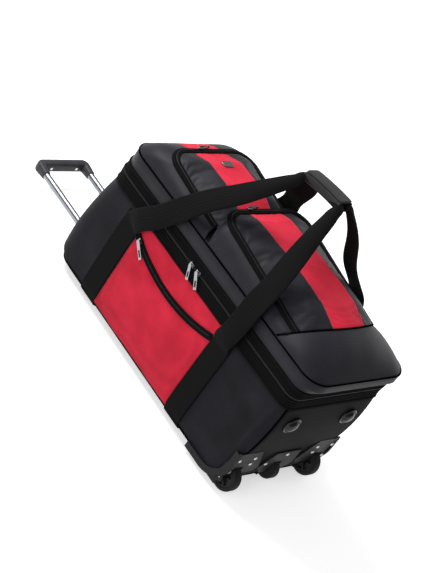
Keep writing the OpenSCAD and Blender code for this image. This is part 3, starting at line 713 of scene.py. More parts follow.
shape = bmesh.new()
shape.from_mesh(bpy.data.objects["lining"].data)
bmesh.ops.remove_doubles(shape, verts=shape.verts, dist=2e-6)
for _ in range(8):
    long_edges = [e for e in shape.edges if e.calc_length() > LONGEST_EDGE * MM]
    if long_edges:
        bmesh.ops.subdivide_edges(shape, edges=long_edges, cuts=1)
        bmesh.ops.triangulate(shape, faces=shape.faces)
for point in shape.verts:
    place = (point.co - Vector((BASE_END, 0, 0))) / MM
    point.co += slack_in(*place) * MM
liner_mesh = bpy.data.meshes.new("lining_cloth")
shape.to_mesh(liner_mesh)
shape.free()
liner = bpy.data.objects.new("lining_cloth", liner_mesh)
bpy.context.scene.collection.objects.link(liner)
liner_mesh.materials.append(liner_cloth)
liner_mesh.shade_smooth()
liner_mesh.set_sharp_from_angle(angle=math.radians(50))
give(liner, "bag", "liner", "lining")
binding_points, binding_ways = spaced(
    outline(LINER_LOW.x, LINER_HIGH.x, LINER_HIGH.y, 39, 16), LINER_HIGH.z - 3)
binding = sweep("lining_binding", binding_points - binding_ways * 1.6, circle(1.2, 12, 4.2),
                zip_tape, closed=True)
give(binding, "bag", "zip_tape")

# %% [markdown]
# ## Red side panels
# A red panel fills each long side between the straps. It is sewn down along its edges,
# and the front one has a pocket: below a curved zip the cloth stands out as a pouch.
# The zip follows part of a large circle, which is how a pattern cutter draws it.

# %% Red panels
PANEL_X = (126, 406)
PANEL_Z = (22, 246)
ARC_X, ARC_Z, ARC_R = 268, 548, 360
POUCH = 5.5


def side_y(x, z):
    """How far from the middle the outside of a long side is."""
    return HALF - rounded_in(z, 16) + side_swell(x, z)


def arc_z(x):
    return ARC_Z - math.sqrt(ARC_R ** 2 - (x - ARC_X) ** 2)


def pouch(x, z):
    """How far the pocket cloth stands off the panel below the zip."""
    below = max(0.0, arc_z(x) - z)
    edge = min(1.0, (x - PANEL_X[0]) / 45, (PANEL_X[1] - x) / 45)
    foot = min(1.0, (z - PANEL_Z[0]) / 70)
    return POUCH * (1 - math.exp(-below / 16)) * math.sin(math.pi / 2 * max(0, edge)) ** 0.7 * \
        math.sin(math.pi / 2 * max(0, foot)) ** 0.8


def panel_grid(sign, pocket):
    xs = np.linspace(*PANEL_X, 71)
    zs = np.linspace(*PANEL_Z, 57)
    return np.array([[(x, sign * (side_y(x, z) + 1.3 + (pouch(x, z) + 0.8 * soft((x, 7, z), 38) if pocket
                                                      else 1.2 * max(0, soft((x, 3, z), 60)))), z)
                      for x in xs] for z in zs])


for name, sign, node in (("front_red_cloth", -1, "front_red_panel"), ("rear_red_cloth", 1, "rear_red_panel")):
    cloth = skin(name, panel_grid(sign, sign < 0), red_cloth, inside=middle, thick=1.2)
    give(cloth, "bag", "nylon_red", node)

# %% [markdown]
# ## The front pocket's zip
# The pocket's zip hides under a flap of black binding that curls over the coil. It is a
# swept section: a flat foot on the panel, a rounded lip below, and the coil above.

# %% Pocket zip flap
arc_x = np.linspace(128, 404, 70)
arc_path = np.array([(x, -side_y(x, arc_z(x)) - 1.5, arc_z(x)) for x in arc_x])
flap_section = np.array([(-1.2, -8), (1.6, -8.6), (3.4, -6.5), (4.0, -4), (3.0, -1.5), (1.6, 0), (2.4, 1.2),
                         (1.6, 2.6), (1.8, 4.8), (1.4, 7.0), (-1.2, 7.2)])
flap_section[:, 0] += 0.6
flap = sweep("front_pocket_zip_band", arc_path, flap_section, zip_tape, up=(0, 0, 1))
give(flap, "bag", "zip_tape", "front_pocket_zip")

# %% [markdown]
# ## Carrying straps on the body
# Two bands of webbing run under the base and up both sides. They are sewn flat, and the
# carrying handles are the same webbing going on above. A ribbon is a short cross-section
# swept along a line, with its own UV map for the ribs. Its edges are slightly rounded.

# %% Body straps
WEB = 50
WEB_THICK = 2.6


def ribbon_section(width, fold=0.0, thick=WEB_THICK, steps=10):
    """A closed section of webbing. Fold is how far its middle rises above its edges."""
    across = np.linspace(-1, 1, steps + 1)
    arch = fold * (1 - across ** 2)
    half = width / 2
    top = np.column_stack([arch + thick / 2, across * (half - 0.8)])
    low = np.column_stack([arch - thick / 2, across * (half - 0.8)])[::-1]
    return np.concatenate([top, [[thick * 0.1, half]], low, [[thick * 0.1, -half]]])


def ribbon(name, path, faces, widths, folds, material):
    """Webbing along a path. Faces gives the direction its outer side looks at each point."""
    path = np.asarray(path, float)
    ahead = np.gradient(path, axis=0)
    ahead /= np.linalg.norm(ahead, axis=1)[:, None]
    across = np.cross(ahead, faces)
    across /= np.linalg.norm(across, axis=1)[:, None]
    out = np.cross(across, ahead)
    grid = []
    for p, a, o, w, f in zip(path, across, out, widths, folds):
        section = ribbon_section(w, f)
        grid.append(p + np.outer(section[:, 0], o) + np.outer(section[:, 1], a))
    return skin(name, grid, material, closed_columns=True, capped=True, sharp=50)


def strap_line(x, sign):
    """Up one side from the middle of the base."""
    turn = np.radians(np.linspace(0, 90, 9))
    flat = [(x, sign * y, BASE_Z - 1.6) for y in np.linspace(0, 118, 8)]
    curl = [(x, sign * (124 + 17.5 * math.sin(t)), 26 - 17.5 * math.cos(t)) for t in turn]
    rise = [(x, sign * (side_y(x, z) + 2.9 + (1.2 if PANEL_X[0] - 60 < x < PANEL_X[1] + 60 else 0)), z)
            for z in np.linspace(36, 238, 26)]
    return np.array(flat + curl + rise)


STRAPS = (("handle_end_strap", 101), ("wheel_end_strap", 431))
for node, x in STRAPS:
    halves = []
    for sign in (-1, 1):
        line = strap_line(x, sign)
        faces = np.array([(0, 0, -1)] * 8 + [(0, sign * math.sin(t), -math.cos(t)) for t in
                                              np.radians(np.linspace(0, 90, 9))] + [(0, sign, 0)] * 26, float)
        halves.append(ribbon("half", line, faces, [WEB] * len(line), [0] * len(line), webbing))
    give(joined(node + "_webbing", halves), "bag", "webbing", node)

# %% [markdown]
# ## Pockets on the lid
# Two pockets stand on the lid. Each has a sloping side wall, a zip in the shape of a U,
# and a padded top with a red stripe down its middle. The walls join the lid's outline
# to the smaller outline of the zip point by point, with a low outward swell.

# %% Pocket walls
SLOPE = math.tan(math.radians(7))
POCKETS = {"one": dict(zip_x=(58, 247), foot_x=(-12, 262), foot_ra=46, z=372),
           "two": dict(zip_x=(246, 527), foot_x=(266, 508), foot_ra=14, z=386)}
ZIP_HALF = 107
ZIP_RA = 38
LID_Z = 331.5


def zip_z(pocket, x):
    return pocket["z"] - (x - pocket["zip_x"][0]) * SLOPE


def zip_ring(pocket, out=0.0):
    points, ways = spaced(outline(*pocket["zip_x"], ZIP_HALF, ZIP_RA, 2), 0)
    points[:, 2] = zip_z(pocket, points[:, 0])
    return points + ways * out, ways


for key, pocket in POCKETS.items():
    foot, ways = spaced(outline(*pocket["foot_x"], HALF, pocket["foot_ra"], 2), LID_Z)
    top, _ = zip_ring(pocket, 4.0)
    rows = []
    for share in np.linspace(0, 1, 15):
        bow = math.sin(math.pi * share)
        row = foot * (1 - share) + top * share + ways * 5 * bow
        row[:, 2] += 4.5 * bow + np.array([1.6 * bow * soft(p, 55) for p in row])
        rows.append(row)
    rows = np.array(rows)
    core = (200, 0, 200)
    parts = (("front", END_STEPS + STRIPE_STEPS, WHEEL, lid_nylon),
             ("rear", REAR, ROUND + END_STEPS, lid_nylon),
             ("stripe", END_STEPS, END_STEPS + STRIPE_STEPS, red_cloth))
    for part, first, last, cloth in parts:
        if key == "two" and part == "stripe":
            cloth = lid_nylon
        wall = skin(f"pocket_{key}_wall_{part}", wrap(rows, first, last), cloth, inside=core, thick=1.5)
        nodes = [f"lid_pocket_{key}"] if part == "front" else []
        give(wall, "lid", "nylon_red" if cloth is red_cloth else "nylon_black", *nodes)

# %% [markdown]
# ## Padded tops, filled by simulation
# The tops are cloth over soft foam. They are sewn down all round and stand up in the
# middle. I draw the height the pattern gives, then let the cloth solver blow the sheet
# up a little while its border stays pinned. The seams then pull small hollows into it,
# which are hard to draw by hand. A limit keeps any point from moving too far.


# %% Cloth solver
def settle(grid, pressure, slack, limit, frames=18):
    """A sheet sewn down along its border, after the cloth solver has filled it."""
    grid = np.asarray(grid, float)
    rows, columns = grid.shape[:2]
    faces = [(r * columns + c, r * columns + c + 1, (r + 1) * columns + c + 1, (r + 1) * columns + c)
             for r in range(rows - 1) for c in range(columns - 1)]
    mesh = bpy.data.meshes.new("sheet")
    mesh.from_pydata([tuple(p) for p in in_frame(grid.reshape(-1, 3))], [], faces)
    sheet = bpy.data.objects.new("sheet", mesh)
    bpy.context.scene.collection.objects.link(sheet)
    if sum(f.normal.z * f.area for f in mesh.polygons) < 0:
        mesh.flip_normals()
    sewn = sheet.vertex_groups.new(name="sewn")
    sewn.add([r * columns + c for r in range(rows) for c in range(columns)
              if r in (0, rows - 1) or c in (0, columns - 1)], 1.0, "REPLACE")
    solver = sheet.modifiers.new("cloth", "CLOTH")
    solver.settings.quality = 6
    solver.settings.use_pressure = True
    solver.settings.uniform_pressure_force = pressure
    solver.settings.shrink_min = -slack
    solver.settings.bending_stiffness = 0.3
    solver.settings.vertex_group_mass = "sewn"
    solver.settings.effector_weights.gravity = 0
    solver.collision_settings.use_collision = False
    solver.point_cache.frame_end = frames
    for frame_number in range(1, frames + 1):
        bpy.context.scene.frame_set(frame_number)
    state = sheet.evaluated_get(bpy.context.evaluated_depsgraph_get())
    moved = np.array([v.co for v in state.data.vertices]) - (BASE_END, 0, 0)
    bpy.data.objects.remove(sheet)
    bpy.context.scene.frame_set(1)
    shift = moved.reshape(grid.shape) / MM - grid
    far_moved = np.linalg.norm(shift, axis=2, keepdims=True)
    print("cloth moved up to", round(float(far_moved.max()), 1), "mm")
    return grid + shift * np.minimum(1, limit / np.maximum(far_moved, 1e-9))


# %% [markdown]
# The first top falls again towards the second pocket. The second one runs on to the
# seam of the end cap, which crosses the lid in a flat curve.

# %% Heights of the tops
CAP_Z = 382
RISES = {"one": ((58, 100, 125, 170, 205, 230, 248), (16, 17, 19, 25, 25, 21, 16)),
         "two": ((246, 290, 360, 410, 500), (9, 12, 22, 28, 36))}


def cap_seam(y):
    """The curved seam where the second pocket meets the end cap."""
    share = abs(y) / HALF
    return np.array((550 - 42 * share ** 2.2, y, CAP_Z - 49 * share ** 2.6))


def top_grid(key, steps=64):
    """Rows along the bag, columns from front to rear, with columns exactly on the stripe's edges."""
    pocket = POCKETS[key]
    x0 = pocket["zip_x"][0] + 1
    ys = np.concatenate([np.linspace(-ZIP_HALF + 1, -STRIPE, 19), np.linspace(-STRIPE, STRIPE, 27)[1:-1],
                         np.linspace(STRIPE, ZIP_HALF - 1, 19)])
    columns = []
    for y in ys:
        reach = max(0.0, abs(y) - (ZIP_HALF - ZIP_RA))
        begin = x0 + ZIP_RA - math.sqrt(max(0.0, (ZIP_RA - 1) ** 2 - min(reach, ZIP_RA - 1) ** 2))
        seam = cap_seam(y)
        finish = 248 if key == "one" else seam[0]
        column = []
        for share in np.linspace(0, 1, steps) ** 1.15:
            x = begin + (finish - begin) * share
            corner_x, corner_y = max(0.0, x0 + ZIP_RA - x), reach
            if corner_x > 0 and corner_y > 0:
                inset = ZIP_RA - math.hypot(corner_x, corner_y)
            else:
                inset = min(x - x0, ZIP_HALF - abs(y))
            full = np.interp(x, *RISES[key])
            z = zip_z(pocket, x) + full * (1 - (1 - min(1.0, max(0.0, inset) / 58)) ** 2.3)
            if key == "two":
                near_seam = np.clip((x - (finish - 60)) / 60, 0, 1)
                z = z * (1 - near_seam ** 2) + seam[2] * near_seam ** 2
            column.append((x, y, z))
        columns.append(column)
    return np.swapaxes(np.array(columns), 0, 1), ys


for key in ("one", "two"):
    grid, ys = top_grid(key)
    grid = settle(grid, 1.5, 0.012, 5)
    left = int(np.argmin(np.abs(ys + STRIPE)))
    right = int(np.argmin(np.abs(ys - STRIPE)))
    for part, columns, cloth in (("front", slice(0, left + 1), lid_nylon),
                                 ("stripe", slice(left, right + 1), red_cloth),
                                 ("rear", slice(right, len(ys)), lid_nylon)):
        top = skin(f"pocket_{key}_top_{part}", grid[:, columns], cloth, inside=(300, 0, 250), thick=2.0)
        if part != "stripe":
            nodes = []
        else:
            nodes = ["lid_stripe"] if key == "one" else []
        give(top, "lid", "nylon_red" if part == "stripe" else "nylon_black", *nodes)

# %% [markdown]
# ## The end cap
# The wheel end of the lid is one stiff shaped panel. It starts flat on the seam line of
# the side strip and curves up and back to the seam with the second pocket.

# %% End cap
CAP_START, CAP_END, CAP_CORNER = 508, 636, 42
bend_x, bend_y = CAP_END - CAP_CORNER, HALF - CAP_CORNER
steps = 70
lower = []
for share in np.linspace(0, 1, steps):
    straight = CAP_END - CAP_CORNER - CAP_START
    turn = math.pi / 2 * CAP_CORNER
    across = 2 * (HALF - CAP_CORNER)
    run = share * (2 * straight + 2 * turn + across)
    if run < straight:
        lower.append((CAP_START + run, -HALF))
    elif run < straight + turn:
        a = (run - straight) / CAP_CORNER
        lower.append((bend_x + CAP_CORNER * math.sin(a),
                      -bend_y - CAP_CORNER * math.cos(a)))
    elif run < straight + turn + across:
        lower.append((CAP_END, -bend_y + run - straight - turn))
    elif run < straight + 2 * turn + across:
        a = (run - straight - turn - across) / CAP_CORNER
        lower.append((bend_x + CAP_CORNER * math.cos(a),
                      bend_y + CAP_CORNER * math.sin(a)))
    else:
        lower.append((bend_x - (run - straight - 2 * turn - across), HALF))
lower = np.column_stack([np.array(lower), np.full(steps, LID_Z)])
upper = np.array([cap_seam(-HALF * math.cos(math.pi * s)) for s in np.linspace(0, 1, steps)])
cap_rows = []
for share in np.linspace(0, 1, 30):
    row = lower * (1 - share) + upper * share
    row[:, 2] = lower[:, 2] + (upper[:, 2] - lower[:, 2]) * (1 - (1 - share) ** 2.0)
    row[:, 2] += np.array([1.5 * math.sin(math.pi * share) * soft(p, 60) for p in row])
    cap_rows.append(row)
cap = skin("lid_end_cap_cloth", cap_rows, lid_nylon, inside=(480, 0, 250), thick=2.0)
give(cap, "lid", "nylon_black", "lid_end_cap")
cap_piping = sweep("end_cap_piping", upper[2:-2] + (0, 0, 0.6), circle(1.8), piping)
give(cap_piping, "lid", "nylon_black")

# %% [markdown]
# ## Zips round the pockets
# Each U-shaped zip is tape with a raised fold on both sides of the coil. It lies on the
# edge between wall and top, so its section bends over that edge.

# %% Pocket zips
U_SECTION = np.array([(-4.5, 0.5), (-3.8, 3.0), (-1.6, 4.2), (0.6, 3.8), (1.8, 2.4), (3.4, 2.9), (5.0, 2.9),
                      (6.4, 1.8), (8.0, 2.4), (10.2, 1.8), (12.0, -0.6), (12.2, -3.4), (10, -6), (4, -8),
                      (-2, -4)])
for key, pocket in POCKETS.items():
    path, _ = zip_ring(pocket)
    order = np.arange(REAR + 1, ROUND + WHEEL) % ROUND
    path = path[order]
    path = path[(path[:, 0] < pocket["zip_x"][1] - 1)]
    zip_band = sweep(f"pocket_{key}_zip_band", path, U_SECTION, zip_tape, sharp=55)
    give(zip_band, "lid", "zip_tape", f"pocket_{key}_zip")

# %% [markdown]
# ## Carrying handles
# Each handle is one loop of webbing. It leaves the body strap flat, leans in over the
# lid, and folds along its middle as it nears the hand wrap, so a wide band becomes a
# narrow one that fits the hand. A smooth curve goes through a few stations, each with
# the width that is left and the way the webbing faces.

# %% Smooth curve through stations
def smooth(values, steps=7):
    """A Catmull-Rom curve through rows of numbers."""
    values = np.asarray(values, float)
    padded = np.concatenate([[2 * values[0] - values[1]], values, [2 * values[-1] - values[-2]]])
    made = []
    for a, b, c, d in zip(padded, padded[1:], padded[2:], padded[3:]):
        for t in np.arange(steps) / steps:
            made.append(0.5 * (2 * b + (c - a) * t + (2 * a - 5 * b + 4 * c - d) * t ** 2
                               + (3 * b - a - 3 * c + d) * t ** 3))
    return np.array(made + [values[-1]])


print("points from two stations:", len(smooth([(0, 0), (1, 1)])))

# %% [markdown]
# The two legs are drawn once, for the front, and mirrored to the rear. Each station is a
# place, the width of the band there, and the way its outer side faces.

# %% Carrying handles
LEG_ONE = [(101, -145.8, 202, 50, 0, -1, 0), (103, -147.0, 220, 50, 0, -1, 0), (113, -154, 238, 49, 0, -1, 0),
           (127, -158, 257, 48, 0, -1, 0), (156, -159, 291, 49, 0, -1, 0.1), (187, -152, 342, 50, 0, -1, 0.3),
           (212, -130, 388, 49, 0, -1, 0.7), (238, -91, 430, 46, 0, -1, 0.8), (262, -60, 472, 38, 0, -1, 0.8),
           (278, -30, 503, 29, 0, -1, 1), (288, -12, 519, 21, 0, -0.5, 1)]
LEG_TWO = [(372, -12, 531, 21, 0, -0.5, 1), (387, -28, 514, 29, 0, -1, 1), (400, -58, 479, 38, 0, -1, 0.8),
           (416, -91, 431, 46, 0, -1, 0.8), (433, -126, 385, 49, 0, -1, 0.7),
           (440, -151, 343, 50, 0, -1, 0.3), (442, -159, 293, 49, 0, -1, 0.1),
           (437, -158, 257, 48, 0, -1, 0), (432, -154, 238, 49, 0, -1, 0),
           (431, -147.0, 220, 50, 0, -1, 0), (431, -145.8, 202, 50, 0, -1, 0)]


def leg_line(legs, sign):
    """A handle's line for one side. The rear one hangs closer to the lid."""
    line = smooth(legs)
    if sign > 0:
        line[:, 1] += 21 * np.exp(-((line[:, 2] - 408) / 48) ** 2)
    line[:, (1, 5)] *= -sign
    return line


def handle(name, sign):
    line = leg_line(LEG_ONE + LEG_TWO, sign)
    width = line[:, 3]
    fold = np.sqrt(np.maximum(0, 3 * width * (WEB - width) / 8)) * 0.5
    return ribbon(name, line[:, :3], line[:, 4:], width, fold, webbing)


for sign, node, body in ((-1, "front_carry_webbing", "front_carry_handle"),
                         (1, "rear_carry_webbing", "rear_carry_handle")):
    loop = give(handle(node + "_loop", sign), body, "webbing", node)
    loop.parent = None
    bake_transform(loop)

# %% [markdown]
# ## The hand wrap
# The two handles are held together by a padded wrap, closed with a hook and loop strip.
# It comes apart down the middle when the lid opens, so each half rides on its own handle.
# A half is a pad curled round the webbing. The pad is a closed form: thick in the middle
# and thin at its sewn border.

# %% Wrap halves
WRAP_X, WRAP_Z, WRAP_LENGTH = 331, 525.5, 102
WRAP_TILT = math.radians(-7.5)
WRAP_ARCH = 1.8


def on_wrap(along, y, z):
    """A place on the tilted, slightly arched wrap: along from -1 to 1."""
    x = along * WRAP_LENGTH / 2
    z = z + WRAP_ARCH * (1 - along ** 2)
    return (WRAP_X + x * math.cos(WRAP_TILT) + z * math.sin(WRAP_TILT), y,
            WRAP_Z - x * math.sin(WRAP_TILT) + z * math.cos(WRAP_TILT))


def wrap_half(name, sign):
    curl = np.array([(-0.4, 9.6), (-5, 10.0), (-11, 10.0), (-15.5, 9.4), (-18.6, 7.2), (-19.8, 3.6),
                     (-19.8, -2), (-19, -6), (-16, -9), (-11.5, -10.2), (-7, -10.4), (-0.4, -10.4)])
    curl = smooth(curl, 3)
    normal = np.gradient(curl, axis=0)
    normal = np.column_stack([-normal[:, 1], normal[:, 0]])
    normal /= np.linalg.norm(normal, axis=1)[:, None]
    share = np.linspace(0, 1, len(curl))
    rows = []
    for along in np.linspace(-1, 1, 37):
        pad = (1 - abs(along) ** 8) ** 0.5 * np.minimum(1, np.minimum(share, 1 - share) / 0.07 + 0.25) ** 0.5
        inner = curl + normal * (0.8 + 2.4 * pad)[:, None]
        section = np.concatenate([curl, inner[::-1]])
        section[:, 0] *= -sign
        rows.append([on_wrap(along, y, z) for y, z in section])
    return skin(name, rows, wrap_cloth, closed_columns=True, capped=True, sharp=50)


for sign, node, body in ((-1, "front_wrap_half", "front_carry_handle"),
                         (1, "rear_wrap_half", "rear_carry_handle")):
    half = give(wrap_half(node + "_pad", sign), body, "nylon_black", node)

# %% [markdown]
# The front half carries the flap that closes over the rear half. It is a flat stitched
# plate with a slight arch along its length, like the wrap below it.

# %% Wrap flap
flap_rows = []
for along in np.linspace(-0.98, 0.98, 31):
    trim = 3.0 * max(0.0, abs(along) - 0.9) / 0.08
    across = np.linspace(-18.0 + trim, 17.5 - trim, 15)
    crown = 10.4 + 1.3 * (1 - (np.abs(across) / 18) ** 4)
    flap_rows.append([on_wrap(along, y, z) for y, z in zip(across, crown + 1.4)]
                     + [on_wrap(along, y, 10.2) for y in across[::-1]])
wrap_flap = skin("wrap_flap", flap_rows, wrap_cloth, closed_columns=True, capped=True, sharp=50)
give(wrap_flap, "front_carry_handle", "nylon_black")

# %% [markdown]
# ## Hard parts
# The moulded and metal parts keep their CAD shape. Real mouldings have no knife edges,
# so each gets a small rounding that catches the light. The CAD meshes are loose
# triangles: a copy is merged, its flat faces are joined, and a Bevel rounds its edges.


# %% Rounded copies
def refined(node, body, finish, slot_name, rounding, lift=(0, 0, 0), angle=35):
    """A copy of a CAD node with merged faces and rounded edges, moved by lift in mm."""
    source = bpy.data.objects[node]
    shape = bmesh.new()
    shape.from_mesh(source.data)
    bmesh.ops.remove_doubles(shape, verts=shape.verts, dist=2e-6)
    bmesh.ops.dissolve_limit(shape, angle_limit=math.radians(1), verts=shape.verts, edges=shape.edges)
    bmesh.ops.translate(shape, verts=shape.verts, vec=Vector(lift) * MM)
    mesh = bpy.data.meshes.new(node + "_moulded")
    shape.to_mesh(mesh)
    shape.free()
    piece = bpy.data.objects.new(node + "_moulded", mesh)
    bpy.context.scene.collection.objects.link(piece)
    mesh.materials.clear()
    mesh.materials.append(finish)
    mesh.shade_smooth()
    mesh.set_sharp_from_angle(angle=math.radians(angle))
    edge = piece.modifiers.new("rounding", "BEVEL")
    edge.width = rounding * MM
    edge.segments = 2
    edge.angle_limit = math.radians(angle)
    edge.harden_normals = True
    return give(piece, body, slot_name, node)


HARD = (("release_button", "release_button", guard_plastic, "grip_plastic", 0.4),
        ("tube_bezel", "bag", guard_plastic, "guard_plastic", 1.5),
        ("front_corner_guard", "bag", guard_plastic, "guard_plastic", 1.0),
        ("rear_corner_guard", "bag", guard_plastic, "guard_plastic", 1.0),
        ("middle_wheel_housing", "bag", guard_plastic, "guard_plastic", 1.0),
        ("base_feet", "bag", guard_plastic, "guard_plastic", 0.8),
        ("front_tyre", "front_wheel", tyre_rubber, "tyre", 1.2),
        ("rear_tyre", "rear_wheel", tyre_rubber, "tyre", 1.2),
        ("middle_wheel", "middle_wheel", tyre_rubber, "tyre", 1.2),
        ("front_hub", "front_wheel", hub_plastic, "hub_plastic", 0.5),
        ("rear_hub", "rear_wheel", hub_plastic, "hub_plastic", 0.5),
        ("badge", "lid", cast_zinc, "zinc", 0.5, (-8, 0, 2.4)),
        ("grip_screws", "pull_handle", plated_steel, "steel", 0.3),
        ("guard_rivets", "bag", plated_steel, "steel", 0.3))
for row in HARD:
    refined(*row)
PULLS = [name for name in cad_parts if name.endswith(("_pull", "_pull_one", "_pull_two", "_slider",
                                                            "_slider_one", "_slider_two"))]
for node in PULLS:
    refined(node, node, cast_zinc, "zinc", 0.45, (-3, 0, 3.4) if node.startswith("pocket_") else (0, 0, 0))

# %% [markdown]
# The pull handle's grip is one moulding: a bar for the hand with a short sleeve down
# each tube. A rounded section is swept along that line, and it changes on the way
# from the bar's flat oval to the sleeve's nearly round collar.

# %% Grip
TUBE_Y, TUBE_Z, GRIP_X, SLEEVE_END = 64, 48, -252, -219


def rounded_section(wide, high, power, sides=32):
    """A closed oval between a circle and a rectangle: a higher power is squarer."""
    turn = np.arange(sides) * 2 * math.pi / sides
    c, s = np.cos(turn), np.sin(turn)
    return np.column_stack([np.sign(c) * np.abs(c) ** (2 / power) * wide / 2,
                            np.sign(s) * np.abs(s) ** (2 / power) * high / 2])


bend = np.radians(np.linspace(0, 90, 12))
leg = [(x, -TUBE_Y) for x in np.linspace(SLEEVE_END, GRIP_X + 8, 10)]
turned = [(GRIP_X + 8 - 8 * math.sin(t), -TUBE_Y + 8 - 8 * math.cos(t)) for t in bend[1:]]
half_line = leg + turned + [(GRIP_X, y) for y in np.linspace(-TUBE_Y + 16, 0, 10)]
grip_line = half_line + [(x, -y) for x, y in half_line[-2::-1]]
grip_path = np.array([(x, y, TUBE_Z) for x, y in grip_line])
grip_out, _ = frames(grip_path, (0, 0, 1), False)
grip_rows = []
for point, way in zip(grip_path, grip_out):
    sleeve = min(1, max(0, (point[0] - GRIP_X) / 26))
    section = rounded_section(20 - 0.6 * sleeve, 26 - 5 * sleeve, 3.2 - 0.9 * sleeve)
    if point[0] > SLEEVE_END - 1:
        section = section * 0.9
    grip_rows.append(point + np.outer(section[:, 0], way) + np.outer(section[:, 1], (0, 0, 1)))
grip = skin("pull_grip_moulding", grip_rows, grip_plastic, closed_columns=True, capped=True, sharp=50)
give(grip, "pull_handle", "grip_plastic", "pull_grip")

# %% [markdown]
# The rest of the CAD parts only need their finish: tubes, axles, pins and what is inside.

# %% Finishes for the CAD parts that stay
FINISHES = {"outer_tubes": tube_aluminium, "inner_tubes": tube_aluminium, "wheel_axles": plated_steel,
            "front_lock_pin": plated_steel, "rear_lock_pin": plated_steel, "lock_plugs": grip_plastic,
            "tube_bracket": guard_plastic, "base_board": board, "base_foam": foam}
for node, finish in FINISHES.items():
    slots = bpy.data.objects[node].material_slots
    for one in slots:
        one.material = finish
print("finished CAD parts:", len(FINISHES))

# %% [markdown]
# ## Stitches and zip coils
# A stitch and a zip tooth are both one small shape repeated along a line, which is what
# Geometry Nodes do best. The line is a mesh of edges that also stores, for each point,
# the way the cloth faces. The tree makes it a curve, divides it into equal steps, and
# stands one shape on each step with its length along the line and its back to the cloth.
# It ends by making the copies real and giving them their material.

# %% Node tree for what repeats along a line
def repeat_tree(name, kind, finish):
    """Repeats a bead (for thread) or a block (for a coil) along edges that know their up."""
    tree = bpy.data.node_groups.new(name, "GeometryNodeTree")
    face = tree.interface
    face.new_socket("Line", in_out="INPUT", socket_type="NodeSocketGeometry")
    for label in ("Spacing", "Length", "Width", "Height"):
        face.new_socket(label, in_out="INPUT", socket_type="NodeSocketFloat")
    face.new_socket("Mesh", in_out="OUTPUT", socket_type="NodeSocketGeometry")
    given = add(tree, "NodeGroupInput").outputs
    line = add(tree, "GeometryNodeMeshToCurve", {"Mesh": given["Line"]}).outputs["Curve"]
    steps = add(tree, "GeometryNodeResampleCurve", {"Curve": line, "Length": given["Spacing"]},
                mode="LENGTH").outputs["Curve"]
    facing = add(tree, "GeometryNodeInputNamedAttribute", {"Name": "up"}, data_type="FLOAT_VECTOR")
    turn = add(tree, "FunctionNodeAxesToRotation",
               {"Primary Axis": add(tree, "GeometryNodeInputTangent").outputs["Tangent"],
                "Secondary Axis": facing.outputs["Attribute"]},
               primary_axis="X", secondary_axis="Z").outputs["Rotation"]
    size = add(tree, "ShaderNodeCombineXYZ",
               {"X": given["Length"], "Y": given["Width"], "Z": given["Height"]})
    if kind == "bead":
        shape = add(tree, "GeometryNodeMeshUVSphere",
                    {"Segments": 6, "Rings": 4, "Radius": 0.5}).outputs["Mesh"]
    else:
        shape = add(tree, "GeometryNodeMeshCube", {"Size": (1, 1, 1)}).outputs["Mesh"]
    copies = add(tree, "GeometryNodeInstanceOnPoints",
                 {"Points": steps, "Instance": shape, "Rotation": turn, "Scale": size.outputs["Vector"]})
    real = add(tree, "GeometryNodeRealizeInstances", {"Geometry": copies.outputs["Instances"]})
    dressed = add(tree, "GeometryNodeSetMaterial", {"Geometry": real.outputs["Geometry"], "Material": finish})
    add(tree, "NodeGroupOutput", {"Mesh": dressed.outputs["Geometry"]})
    return tree


def repeated(name, lines, tree, sizes, body, slot_name):
    """One piece from several lines, each given as (points, up directions), in mm."""
    points = np.concatenate([in_frame(p) for p, _ in lines])
    ups = np.concatenate([np.broadcast_to(np.asarray(u, float), np.shape(p)) for p, u in lines])
    edges = []
    first = 0
    for p, _ in lines:
        edges += [(first + i, first + i + 1) for i in range(len(p) - 1)]
        first += len(p)
    mesh = bpy.data.meshes.new("line")
    mesh.from_pydata([tuple(p) for p in points], edges, [])
    mesh.attributes.new("up", "FLOAT_VECTOR", "POINT").data.foreach_set("vector", ups.ravel())
    guide = bpy.data.objects.new("line", mesh)
    bpy.context.scene.collection.objects.link(guide)
    maker = guide.modifiers.new("repeat", "NODES")
    maker.node_group = tree
    for item in tree.interface.items_tree:
        if item.name in sizes and item.in_out == "INPUT":
            maker[item.identifier] = sizes[item.name] * MM
    state = guide.evaluated_get(bpy.context.evaluated_depsgraph_get())
    made = bpy.data.meshes.new_from_object(state)
    made.shade_smooth()
    made.set_sharp_from_angle(angle=math.radians(50))
    bpy.data.objects.remove(guide)
    piece = bpy.data.objects.new(name, made)
    bpy.context.scene.collection.objects.link(piece)
    return give(piece, body, slot_name)


stitch_tree = repeat_tree("stitches", "bead", thread)
red_stitch_tree = repeat_tree("red_stitches", "bead", red_thread)
coil_tree = repeat_tree("zip_coil", "block", coil)
STITCH = {"Spacing": 4.6, "Length": 3.2, "Width": 0.9, "Height": 0.7}


def coil_size(width, height):
    """Sizes of a zip coil's turns, which are all 2.4 mm apart."""
    return {"Spacing": 2.4, "Length": 1.3, "Width": width, "Height": height}


print("node trees:", stitch_tree.name, red_stitch_tree.name, coil_tree.name)

# %% [markdown]
# The coil's turns are really 1.2 mm apart. They are drawn 2.4 mm apart, because finer
# ones would run together from where the bag is seen.

